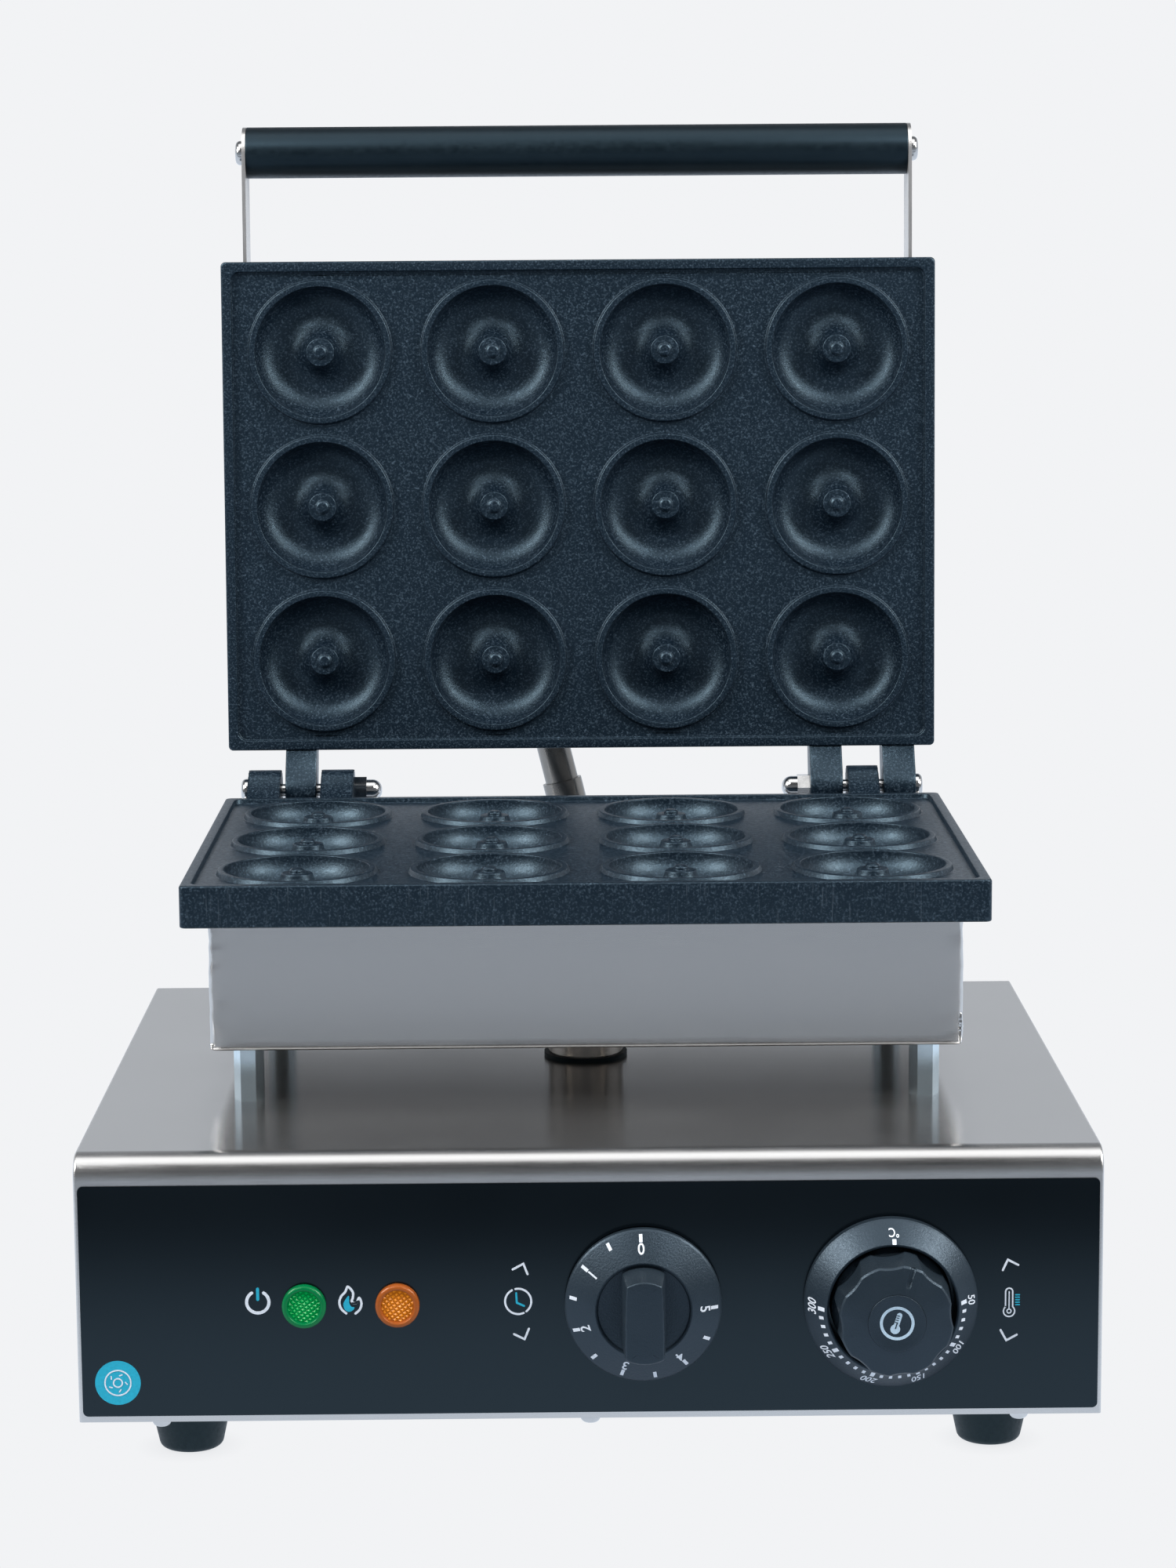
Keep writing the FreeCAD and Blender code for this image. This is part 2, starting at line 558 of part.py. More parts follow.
def housing_box():
    """Welded box, closed side down, with its stud holes."""
    x = HOUSING_W / 2
    shell = rounded_box(-x, x, HOUSING_FRONT_Y, HOUSING_REAR_Y, HOUSING_BOTTOM, PLATE_BOTTOM, HOUSING_EDGE_R)
    shell = soften(shell, HOUSING_EDGE_R - 0.5, lambda edge: edge.BoundBox.ZMax < HOUSING_BOTTOM + 0.01)
    wall = HOUSING_WALL
    hollow = rounded_box(-x + wall, x - wall, HOUSING_FRONT_Y + wall, HOUSING_REAR_Y - wall,
                         HOUSING_BOTTOM + wall, PLATE_BOTTOM + wall, HOUSING_EDGE_R - wall)
    holes = [rod(STUD_R, Vector(px, py, HOUSING_BOTTOM - 1), UP, 4) for px, py in STUD_PLACES]
    return shell.cut([hollow] + holes)


def mould_centres():
    for row in range(MOULD_ROWS):
        for column in range(MOULD_COLUMNS):
            yield ((column - (MOULD_COLUMNS - 1) / 2) * MOULD_PITCH_X,
                   -PLATE_D / 2 + (row - (MOULD_ROWS - 1) / 2) * MOULD_PITCH_Y)


def knuckle(x0, width, bore_r):
    """Boss round the hinge axis, with a neck that runs into the plate's back face."""
    boss = rod(KNUCKLE_R, Vector(x0, HINGE_OFFSET, CLOSING_Z), RIGHT, width)
    lean = math.radians(140)
    shoulder = (HINGE_OFFSET + KNUCKLE_R * math.cos(lean), CLOSING_Z + KNUCKLE_R * math.sin(lean))
    neck = side_profile([(-3, PLATE_BOTTOM + 1.5, 0), (HINGE_OFFSET, CLOSING_Z - KNUCKLE_R, 0),
                         (HINGE_OFFSET, CLOSING_Z, 0), (shoulder[0], shoulder[1], 0),
                         (0, PLATE_TOP - 1.0, 0), (-3, PLATE_TOP - 1.0, 0)], x0, x0 + width)
    bore = rod(bore_r, Vector(x0, HINGE_OFFSET, CLOSING_Z), RIGHT, width)
    return fuse(boss, [neck]).cut(bore)


def mould_plate():
    """One casting, cavities up: a pair of ears at the left hinge and one lug at the right."""
    x = PLATE_W / 2
    body = rounded_box(-x, x, -PLATE_D, 0, PLATE_BOTTOM, PLATE_TOP, PLATE_CORNER_R)
    field = rounded_box(-x + RIM_W, x - RIM_W, -PLATE_D + RIM_W, -RIM_W, PLATE_TOP - FIELD_DEPTH,
                        PLATE_TOP + 1, FIELD_CORNER_R)
    lips = [Part.makeCone(LIP_FOOT_R, LIP_R, FIELD_DEPTH, Vector(px, py, PLATE_TOP - FIELD_DEPTH))
            for px, py in mould_centres()]
    ear_shift = LUG_W / 2 + KNUCKLE_GAP
    knuckles = [knuckle(-HINGE_X - ear_shift - EAR_W, EAR_W, BOLT_R),
                knuckle(-HINGE_X + ear_shift, EAR_W, BOLT_R),
                knuckle(HINGE_X - LUG_W / 2, LUG_W, BOLT_R + SHAFT_PLAY)]
    plate = fuse(body.cut(field), lips + knuckles)
    cuts = []
    for px, py in mould_centres():
        cuts.append(Part.makeTorus(CAVITY_R, CAVITY_SECTION_R, Vector(px, py, PLATE_TOP)))
        collar = rod(CAVITY_R, Vector(px, py, PLATE_TOP - POST_DROP), UP, POST_DROP + 1)
        cuts.append(collar.cut(rod(NUB_R, Vector(px, py, PLATE_TOP - POST_DROP), UP, POST_DROP + 1)))
    cuts += [rod(STUD_R, Vector(px, py, PLATE_BOTTOM - 1), UP, 9) for px, py in STUD_PLACES]
    cuts += [rod(STUD_R, Vector(px, HOUSING_MIDDLE_Y, PLATE_BOTTOM - 1), UP, 7)
             for px in (-CLAMP_SCREW_X, CLAMP_SCREW_X)]
    return plate.cut(cuts)


def heater():
    """Tubular element laid in four runs under the plate, both ends at the right."""
    z = PLATE_BOTTOM - HEATER_R
    rows = [HOUSING_MIDDLE_Y + (i - 1.5) * HEATER_PITCH for i in range(4)]
    bend = HEATER_PITCH / 2
    edges = []
    for i, y in enumerate(rows):
        side = 1 if i % 2 == 0 else -1
        first = HEATER_RUN + (24 if i == 0 else 0)
        last = HEATER_RUN + (24 if i == 3 else 0)
        edges.append(Part.LineSegment(Vector(side * first, y, z), Vector(-side * last, y, z)).toShape())
        if i < 3:
            turn_x = -side * HEATER_RUN
            edges.append(Part.Arc(Vector(turn_x, y, z), Vector(turn_x - side * bend, y + bend, z),
                                  Vector(turn_x, y + 2 * bend, z)).toShape())
    section = Part.Wire(Part.Circle(Vector(HEATER_RUN + 24, rows[0], z), LEFT, HEATER_R).toShape())
    return Part.Wire(edges).makePipeShell([section], True, False)


def heater_stack():
    """Pieces that both halves hold, as they lie in the lower half."""
    clamp_top = PLATE_BOTTOM - 2 * HEATER_R
    clamp = box(-CLAMP_W / 2, CLAMP_W / 2, HOUSING_MIDDLE_Y - CLAMP_D / 2, HOUSING_MIDDLE_Y + CLAMP_D / 2,
                clamp_top - CLAMP_T, clamp_top)
    clamp_holes = [rod(STUD_R, Vector(x, HOUSING_MIDDLE_Y, clamp_top - 5), UP, 8)
                   for x in (-CLAMP_SCREW_X, CLAMP_SCREW_X)]
    clamp_holes.append(rod(6.0, Vector(52, HOUSING_MIDDLE_Y, clamp_top - 5), UP, 8))
    clamp_screw = screw(4.5, 3.0, STUD_R, CLAMP_T + 2 * HEATER_R + 6)
    clamp_screws = Part.makeCompound([aim(clamp_screw, Vector(x, HOUSING_MIDDLE_Y, clamp_top - CLAMP_T), UP)
                                      for x in (-CLAMP_SCREW_X, CLAMP_SCREW_X)])
    low = HOUSING_BOTTOM + HOUSING_WALL
    wool = box(-INSULATION_W / 2, INSULATION_W / 2, HOUSING_MIDDLE_Y - INSULATION_D / 2,
               HOUSING_MIDDLE_Y + INSULATION_D / 2, low, low + INSULATION_T)
    wool = wool.cut(rod(26, Vector(0, PIPE_Y, low - 1), UP, INSULATION_T + 2))
    studs = Part.makeCompound([rod(STUD_R, Vector(x, y, HOUSING_BOTTOM - 8), UP, HOUSING_H + 16)
                               for x, y in STUD_PLACES])
    return {"mould_plate": mould_plate(), "heating_element": heater(),
            "element_clamp": clamp.cut(clamp_holes), "clamp_screws": clamp_screws,
            "insulation": wool, "plate_studs": studs}


def lower_half(stack):
    for name, shape in stack.items():
        keep("lower_" + name, shape)
    pipe_hole = rod(PIPE_R, Vector(0, PIPE_Y, HOUSING_BOTTOM - 1), UP, 4)
    hose_z = CLOSING_Z - HOSE_DROP
    hose_hole = rod(HOSE_R, Vector(HOSE_X, HOUSING_REAR_Y - 3, hose_z), REARWARD, 6)
    keep("lower_housing", housing_box().cut([pipe_hole, hose_hole]))
    gland = fuse(aim(hexagon(20, 6), Vector(HOSE_X, HOUSING_REAR_Y, hose_z), REARWARD),
                 [rod(FERRULE_R, Vector(HOSE_X, HOUSING_REAR_Y + 6, hose_z), REARWARD, HOSE_GLAND_H - 6)])
    bore = rod(HOSE_R - 1.4, Vector(HOSE_X, HOUSING_REAR_Y, hose_z), REARWARD, HOSE_GLAND_H)
    keep("hose_gland", gland.cut(bore))
    bulb_z = PLATE_BOTTOM - HEATER_R
    rise = Vector(5, PIPE_Y - 3, 0)
    capillary = routed_tube([Vector(THERMOSTAT_X, BASE_FRONT_Y + SHEET + 40, CONTROL_Z + 10),
                             Vector(THERMOSTAT_X, BASE_FRONT_Y + 70, CONTROL_Z + 10),
                             Vector(rise.x + 30, rise.y - 20, CONTROL_Z + 14),
                             Vector(rise.x, rise.y, BASE_TOP - 18),
                             Vector(rise.x, rise.y, HOUSING_BOTTOM + 30),
                             Vector(52, HOUSING_MIDDLE_Y, HOUSING_BOTTOM + 29),
                             Vector(52, HOUSING_MIDDLE_Y, bulb_z), Vector(42, HOUSING_MIDDLE_Y, bulb_z)], 1.2)
    bulb = rod(3.2, Vector(-38, HOUSING_MIDDLE_Y, bulb_z), RIGHT, 80)
    keep("thermostat_bulb", fuse(capillary, [bulb]))


# ---------------------------------------------------------------- lid

def upper_half(stack):
    for name, shape in stack.items():
        keep("upper_" + name, open_lid(turn_over(shape)))
    closed = turn_over(housing_box())
    bar_holes = [rod(STUD_R, Vector(side * (HOUSING_W / 2 - 4), y, CLOSING_Z + HANDLE_H), RIGHT * side, 8)
                 for side in (-1, 1) for y in bar_screw_ys()]
    closed = closed.cut(bar_holes + [conduit_bar(CONDUIT_R)])
    keep("upper_housing", open_lid(closed))
    outer_z = 2 * CLOSING_Z - HOUSING_BOTTOM
    keep("upper_housing_nuts", *[open_lid(aim(acorn_nut(8.0, 9.5, STUD_R, 8.0), Vector(x, y, outer_z), UP))
                                 for x, y in STUD_PLACES])


def bar_screw_ys():
    return (BAR_REAR_Y - 4, BAR_REAR_Y - 54)


def handle():
    axis_y = -PLATE_D - HANDLE_REACH
    axis_z = CLOSING_Z + HANDLE_H
    inner_x = HOUSING_W / 2
    half = BAR_W / 2
    screws = []
    for name, side in (("handle_bar_left", -1), ("handle_bar_right", 1)):
        x0 = min(side * inner_x, side * (inner_x + BAR_T))
        front_y = axis_y - half
        rear_y = BAR_REAR_Y + half
        bar = side_profile([(front_y, axis_z - half, half - 0.01), (rear_y, axis_z - half, 3.0),
                            (rear_y, axis_z + half, 3.0), (front_y, axis_z + half, half - 0.01)],
                           x0, x0 + BAR_T)
        holes = [rod(BOLT_R, Vector(x0 - 1, axis_y, axis_z), RIGHT, 4)]
        holes += [rod(STUD_R, Vector(x0 - 1, y, axis_z), RIGHT, 4) for y in bar_screw_ys()]
        keep(name, open_lid(bar.cut(holes)))
        outer = Vector(side * (inner_x + BAR_T), 0, axis_z)
        screws += [open_lid(aim(screw(4.5, 2.6, STUD_R, 7.0), outer + Vector(0, y, 0), LEFT * side))
                   for y in bar_screw_ys()]
    keep("handle_bar_screws", *screws)
    start = Vector(-inner_x, axis_y, axis_z)
    tube = rod(HANDLE_R, start, RIGHT, 2 * inner_x).cut(rod(TIE_ROD_R, start, RIGHT, 2 * inner_x))
    keep("handle_tube", open_lid(tube))
    sockets = [rod(BOLT_R, Vector(side * inner_x, axis_y, axis_z), LEFT * side, 16) for side in (-1, 1)]
    keep("handle_tie_rod", open_lid(rod(TIE_ROD_R, start, RIGHT, 2 * inner_x).cut(sockets)))
    keep("handle_end_screws", *[open_lid(aim(screw(BOLT_HEAD_R, BOLT_HEAD_H, BOLT_R, 16.0),
                                             Vector(side * (inner_x + BAR_T), axis_y, axis_z), LEFT * side))
                                for side in (-1, 1)])


def hinge_fasteners():
    """Bolt head outboard and acorn nut inboard; each pair stays with the plate that has the two ears."""
    half = LUG_W / 2 + KNUCKLE_GAP + EAR_W
    nut_depth = 8.0
    length = 2 * half + nut_depth
    for name, side, place in (("left", -1, lambda shape: shape), ("right", 1, open_lid)):
        inward = LEFT * side
        outer = Vector(side * (HINGE_X + half), HINGE_OFFSET, CLOSING_Z)
        inner = Vector(side * (HINGE_X - half), HINGE_OFFSET, CLOSING_Z)
        keep("hinge_bolt_" + name, place(aim(screw(BOLT_HEAD_R, BOLT_HEAD_H, BOLT_R, length), outer, inward)))
        keep("hinge_nut_" + name, place(aim(acorn_nut(NUT_FLATS, NUT_H, BOLT_R, nut_depth), inner, inward)))


# ---------------------------------------------------------------- conduit

def conduit_direction():
    slant = math.radians(CONDUIT_SLANT)
    return Vector(math.sin(slant), math.cos(slant), 0)


def conduit_start():
    return Vector(CONDUIT_X, HOUSING_REAR_Y, CLOSING_Z + HALF_GAP + PLATE_T + HOUSING_H / 2)


def conduit_bar(radius):
    """Solid bar where the conduit tube lies in the closed lid, from inside the rear wall outwards."""
    inside = 8.0
    start = conduit_start() - conduit_direction() * inside
    return rod(radius, start, conduit_direction(), inside + CONDUIT_LENGTH)


def conduit():
    keep("conduit_tube", open_lid(conduit_bar(CONDUIT_R).cut(conduit_bar(CONDUIT_R - CONDUIT_WALL))))
    nut = aim(hexagon(22, 5), conduit_start(), REARWARD).cut(conduit_bar(CONDUIT_R))
    keep("conduit_wall_nut", open_lid(nut))
    end = conduit_start() + conduit_direction() * CONDUIT_LENGTH
    ferrule_start = end - conduit_direction() * (FERRULE_LENGTH - 3)
    ferrule = rod(FERRULE_R, ferrule_start, conduit_direction(), FERRULE_LENGTH)
    ferrule = ferrule.cut([conduit_bar(CONDUIT_R), rod(HOSE_R - 1, end, conduit_direction(), FERRULE_LENGTH)])
    keep("conduit_ferrule", open_lid(ferrule))
    reach = CONDUIT_LENGTH + 3 + HOSE_GAP
    upper = Part.Vertex(conduit_start() + conduit_direction() * reach)
    further = Part.Vertex(conduit_start() + conduit_direction() * (reach + 18))
    gland_face = Vector(HOSE_X, HOUSING_REAR_Y + HOSE_GLAND_H, CLOSING_Z - HOSE_DROP)
    route = [open_lid(upper).Point, open_lid(further).Point, gland_face + Vector(-18.5, 47, 7),
             gland_face + Vector(-10, 34.5, 0), gland_face + Vector(0, 17, 0), gland_face]
    keep("conduit_hose", routed_tube(route, HOSE_R))


# ---------------------------------------------------------------- build and export

def main():
    base_shell()
    bottom_plate()
    feet()
    front_overlay()
    timer()
    thermostat()
    pilot_lamps()
    control_screws()
    base_electrics()
    stand()
    stack = heater_stack()
    lower_half(stack)
    upper_half(stack)
    handle()
    hinge_fasteners()
    conduit()
    whole = Part.makeCompound(list(nodes.values())).optimalBoundingBox(False, False)
    shift = -(whole.YMin + whole.YMax) / 2
    print("nodes", len(nodes), "shift along Y", round(shift, 4))
    print("hinge axis y", round(HINGE_OFFSET + shift, 4), "z", round(CLOSING_Z, 4))
    for name, shape in nodes.items():
        shape.translate(Vector(0, shift, 0))
        shape.exportStep(f"parts/{name}.step")


main()
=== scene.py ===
import json
import math

import bmesh
import bpy
from mathutils import Matrix, Vector, noise

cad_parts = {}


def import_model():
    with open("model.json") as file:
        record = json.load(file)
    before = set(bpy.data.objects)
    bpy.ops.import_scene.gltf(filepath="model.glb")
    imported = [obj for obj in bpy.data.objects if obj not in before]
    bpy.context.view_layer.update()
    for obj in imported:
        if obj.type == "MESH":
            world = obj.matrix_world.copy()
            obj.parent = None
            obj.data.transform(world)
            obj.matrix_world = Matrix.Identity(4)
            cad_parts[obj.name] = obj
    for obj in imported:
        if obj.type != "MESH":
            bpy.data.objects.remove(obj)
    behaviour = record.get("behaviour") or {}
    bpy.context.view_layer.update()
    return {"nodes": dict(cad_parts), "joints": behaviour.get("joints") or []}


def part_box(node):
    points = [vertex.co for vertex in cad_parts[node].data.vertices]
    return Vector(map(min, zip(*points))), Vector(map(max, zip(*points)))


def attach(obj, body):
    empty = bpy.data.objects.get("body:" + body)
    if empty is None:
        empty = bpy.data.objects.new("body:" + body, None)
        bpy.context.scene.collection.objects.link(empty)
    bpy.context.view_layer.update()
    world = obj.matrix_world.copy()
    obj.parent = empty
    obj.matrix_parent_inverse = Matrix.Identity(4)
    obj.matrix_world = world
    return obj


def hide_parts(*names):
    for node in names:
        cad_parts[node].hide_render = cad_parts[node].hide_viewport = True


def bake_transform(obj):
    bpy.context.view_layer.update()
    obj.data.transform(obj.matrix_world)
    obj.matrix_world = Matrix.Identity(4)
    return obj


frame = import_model()

MM = 0.001
JOINTS = {joint["name"]: joint for joint in frame["joints"]}
HINGE, TIMER, THERMOSTAT = (JOINTS[name] for name in ("lid_hinge", "timer_turn", "thermostat_turn"))
HINGE_POINT = Vector(HINGE["pos_m"])
OPEN_ANGLE = math.radians(HINGE["range_deg"][1])

# ---- places, from the frame

plate_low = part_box("lower_mould_plate")[0]
housing_low, housing_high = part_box("lower_housing")
base_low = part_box("base_shell")[0]
PLATE_W, PLATE_D, PLATE_T = 306 * MM, 210 * MM, 16.2 * MM
PLATE_CENTRE = Vector((0, plate_low.y + PLATE_D / 2, plate_low.z + PLATE_T))
HOUSING_W = housing_high.x - housing_low.x
HOUSING_D = housing_high.y - housing_low.y
HOUSING_H = housing_high.z - housing_low.z
HOUSING_CENTRE = Vector((0, (housing_low.y + housing_high.y) / 2, housing_low.z))
PANEL_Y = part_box("front_overlay")[0].y
CONTROL_Z = TIMER["pos_m"][2]
PANEL_BOTTOM = base_low.z

# a piece of the closed lid is the lower one turned over, then swung open about the hinge
TURN_OVER = (Matrix.Translation((0, 0, HINGE_POINT.z)) @ Matrix.Rotation(math.pi, 4, "Y")
             @ Matrix.Translation((0, 0, -HINGE_POINT.z)))
SWING_OPEN = (Matrix.Translation(HINGE_POINT) @ Matrix.Rotation(-OPEN_ANGLE, 4, "X")
              @ Matrix.Translation(-HINGE_POINT))
TO_LID = SWING_OPEN @ TURN_OVER
FACING_FRONT = Matrix(((1, 0, 0, 0), (0, 0, -1, 0), (0, 1, 0, 0), (0, 0, 0, 1)))


def on_front(x, y, z):
    """Places a piece built in its own x, y plane on a front face, its +Z towards the front."""
    return Matrix.Translation((x, y, z)) @ FACING_FRONT


# ---- node materials

class Nodes:
    """A node tree and short calls that add to it."""

    def __init__(self, owner):
        owner.use_nodes = True
        self.tree = owner.node_tree

    def add(self, kind, **values):
        node = self.tree.nodes.new(kind)
        for key, value in values.items():
            setattr(node, key, value)
        return node

    def link(self, out, into):
        self.tree.links.new(out, into)

    def ramp(self, fac, low, high, start=0.0, end=1.0):
        node = self.add("ShaderNodeMapRange")
        for key, value in (("From Min", low), ("From Max", high), ("To Min", start), ("To Max", end)):
            node.inputs[key].default_value = value
        self.link(fac, node.inputs["Value"])
        return node.outputs["Result"]

    def mix(self, fac, first, second):
        node = self.add("ShaderNodeMix", data_type="RGBA")
        self.link(fac, node.inputs[0])
        for value, socket in ((first, node.inputs[6]), (second, node.inputs[7])):
            if isinstance(value, tuple):
                socket.default_value = (*value, 1)
            else:
                self.link(value, socket)
        return node.outputs[2]

    def split(self, vector):
        node = self.add("ShaderNodeSeparateXYZ")
        self.link(vector, node.inputs["Vector"])
        return node.outputs

    def tones(self, fac, stops, tint):
        """Colour ramp from (position, brightness) stops and a tint."""
        node = self.add("ShaderNodeValToRGB")
        elements = node.color_ramp.elements
        while len(elements) < len(stops):
            elements.new(0.5)
        for element, (position, value) in zip(elements, stops):
            element.position = position
            element.color = (*(value * t for t in tint), 1)
        self.link(fac, node.inputs["Fac"])
        return node.outputs["Color"]

    def by_ray(self, seen, cast, output):
        """The camera's rays get the seen shader, and all other rays the cast one."""
        either = self.add("ShaderNodeMixShader")
        self.link(self.add("ShaderNodeLightPath").outputs["Is Camera Ray"], either.inputs[0])
        self.link(cast, either.inputs[1])
        self.link(seen, either.inputs[2])
        self.link(either.outputs["Shader"], self.add(output).inputs["Surface"])


class Shader(Nodes):
    """An object's material: nodes that end in its Principled shader."""

    def __init__(self, name):
        self.material = bpy.data.materials.new(name)
        super().__init__(self.material)
        self.main = next(n for n in self.tree.nodes if n.type == "BSDF_PRINCIPLED")
        self.where = self.add("ShaderNodeTexCoord").outputs["Object"]

    def set(self, **values):
        for key, value in values.items():
            self.main.inputs[key.replace("_", " ")].default_value = value

    def stretched(self, scale):
        mapping = self.add("ShaderNodeMapping")
        mapping.inputs["Scale"].default_value = scale
        self.link(self.where, mapping.inputs["Vector"])
        return mapping.outputs["Vector"]

    def noise(self, scale, detail=2.0, rough=0.5, stretch=None):
        node = self.add("ShaderNodeTexNoise")
        node.inputs["Scale"].default_value = scale
        node.inputs["Detail"].default_value = detail
        node.inputs["Roughness"].default_value = rough
        self.link(self.stretched(stretch) if stretch else self.where, node.inputs["Vector"])
        return node.outputs["Fac"]

    def maths(self, operation, first, second):
        node = self.add("ShaderNodeMath", operation=operation)
        for value, socket in zip((first, second), node.inputs):
            if isinstance(value, (int, float)):
                socket.default_value = value
            else:
                self.link(value, socket)
        return node.outputs["Value"]

    def bump(self, height, strength, distance, under=None):
        node = self.add("ShaderNodeBump")
        node.inputs["Strength"].default_value = strength
        node.inputs["Distance"].default_value = distance
        self.link(height, node.inputs["Height"])
        if under is not None:
            self.link(under, node.inputs["Normal"])
        self.link(node.outputs["Normal"], self.main.inputs["Normal"])
        return node.outputs["Normal"]

    def colour(self, out):
        self.link(out, self.main.inputs["Base Color"])

    def roughness(self, out):
        self.link(out, self.main.inputs["Roughness"])


def brushed(name, dark, light, rough, grain=(60, 1700, 1700), tangent=(1, 0.02, 0), strength=0.02,
            spread_out=0.88, below=None):
    """Brushed stainless: fine stretched grain, broader smears, and highlights spread across the grain.
    below is a darker, brown colour painted on the faces that look down, as painted shade."""
    s = Shader(name)
    s.set(Metallic=1.0, Anisotropic=spread_out, Anisotropic_Rotation=0.25)
    fine = s.noise(1, 3, 0.6, grain)
    hair = s.noise(1, 1, 0.5, tuple(2.6 * g for g in grain))
    smear = s.noise(14, 3, 0.55)
    both = s.maths("ADD", s.maths("MULTIPLY", fine, 0.7), s.maths("MULTIPLY", hair, 0.3))
    tone = s.maths("ADD", s.maths("MULTIPLY", smear, 0.45), s.maths("MULTIPLY", both, 0.55))
    steel = s.mix(s.ramp(tone, 0.36, 0.64), dark, light)
    # painted shade: the faces that look down take the darker brown colour below
    if below:
        faces = s.split(s.add("ShaderNodeTexCoord").outputs["Normal"])
        steel = s.mix(s.ramp(faces["Z"], -0.7, -0.97), steel, below)
    s.colour(steel)
    spread = s.maths("ADD", s.ramp(both, 0.3, 0.7, rough - 0.02, rough + 0.025),
                     s.ramp(smear, 0.3, 0.7, -0.01, 0.02))
    s.roughness(spread)
    s.bump(both, strength, 0.0002)
    direction = s.add("ShaderNodeCombineXYZ")
    for socket, value in zip(direction.inputs, tangent):
        socket.default_value = value
    s.link(direction.outputs["Vector"], s.main.inputs["Tangent"])
    return s.material


def polished(name, tint, rough, wear=60):
    """Plated or polished steel with faint smears and pits."""
    s = Shader(name)
    s.set(Metallic=1.0)
    smear = s.noise(wear, 4, 0.6)
    pits = s.noise(1400, 2, 0.5)
    s.colour(s.mix(s.ramp(smear, 0.35, 0.7), tint, tuple(0.72 * c for c in tint)))
    s.roughness(s.ramp(smear, 0.3, 0.75, rough, rough + 0.14))
    s.bump(pits, 0.06, 0.00004)
    return s.material


def nonstick():
    """Sprayed non-stick coating: orange-peel grain, pale flecks, and faint file marks on the sides."""
    s = Shader("nonstick_coating")
    s.set(IOR=1.5, Specular_Tint=(0.54, 0.80, 1.0, 1))
    grain = s.noise(1200, 3, 0.65)
    coarse = s.noise(520, 2, 0.5)
    fleck = s.maths("ADD", s.ramp(s.noise(1150, 2, 0.55), 0.50, 0.70),
                    s.ramp(s.noise(820, 1, 0.4), 0.67, 0.74))
    cloud = s.noise(26, 3, 0.5)
    side = s.add("ShaderNodeAttribute", attribute_name="side").outputs["Fac"]
    marks = s.ramp(s.noise(1, 2, 0.6, (1500, 1500, 60)), 0.60, 0.78)
    marks = s.maths("MULTIPLY", marks, s.maths("MULTIPLY", side, s.ramp(cloud, 0.40, 0.62)))
    ground = s.mix(s.ramp(cloud, 0.3, 0.7), (0.0016, 0.0048, 0.0098), (0.0024, 0.0062, 0.0120))
    ground = s.mix(s.maths("MULTIPLY", fleck, 0.55), ground, (0.048, 0.072, 0.098))
    s.colour(s.mix(s.maths("MULTIPLY", marks, 0.45), ground, (0.10, 0.13, 0.16)))
    s.roughness(s.ramp(coarse, 0.3, 0.7, 0.33, 0.42))
    under = s.bump(coarse, 0.20, 0.00026)
    s.bump(grain, 0.8, 0.00013, under)
    return s.material


def moulded(name, low, high, rough, grain=900, strength=0.35, depth=0.0001, tint=(0.6, 0.8, 1.0)):
    """Moulded plastic or rubber with an eroded grain."""
    s = Shader(name)
    s.set(IOR=1.5, Specular_Tint=(*tint, 1))
    fine = s.noise(grain, 3, 0.6)
    patch = s.noise(45, 3, 0.5)
    s.colour(s.mix(s.ramp(patch, 0.3, 0.7), low, high))
    s.roughness(s.maths("ADD", s.ramp(fine, 0.3, 0.7, rough - 0.05, rough + 0.08),
                        s.ramp(patch, 0.3, 0.7, 0, 0.05)))
    s.bump(fine, strength, depth)
    return s.material


def lens(name, tint, deep, glow):
    """Tinted lamp lens, a little deeper in tone where the moulding is thick."""
    s = Shader(name)
    s.set(IOR=1.49, Roughness=0.22, Specular_Tint=(*(0.35 + 0.65 * c for c in tint), 1),
          Emission_Color=(*tint, 1), Emission_Strength=glow)
    core = s.add("ShaderNodeAttribute", attribute_name="core").outputs["Fac"]
    haze = s.noise(700, 2, 0.5)
    mixed = s.maths("MULTIPLY", core, s.ramp(haze, 0.25, 0.7, 0.75, 1.0))
    s.colour(s.mix(mixed, deep, tint))
    s.link(s.mix(mixed, tuple(0.35 * c for c in deep), tint), s.main.inputs["Emission Color"])
    s.bump(haze, 0.05, 0.00005)
    return s.material


def printed(name, tone):
    """Screen-printed ink: matt, with slight coverage changes."""
    s = Shader(name)
    thin = s.noise(900, 3, 0.6)
    s.colour(s.mix(s.ramp(thin, 0.35, 0.75), tone, tuple(0.82 * c for c in tone)))
    s.roughness(s.ramp(thin, 0.3, 0.7, 0.45, 0.6))
    s.bump(thin, 0.1, 0.00003)
    return s.material


def overlay_film():
    """Matt embossed polycarbonate film."""
    s = Shader("overlay_film_matt")
    s.set(IOR=1.5, Specular_Tint=(0.60, 0.84, 1.0, 1))
    grain = s.noise(2400, 2, 0.5)
    patch = s.noise(9, 3, 0.5)
    s.colour(s.mix(s.ramp(patch, 0.3, 0.7), (0.0006, 0.0010, 0.0015), (0.0010, 0.0016, 0.0023)))
    s.roughness(s.ramp(patch, 0.3, 0.7, 0.160, 0.190))
    s.bump(grain, 0.12, 0.00004)
    return s.material


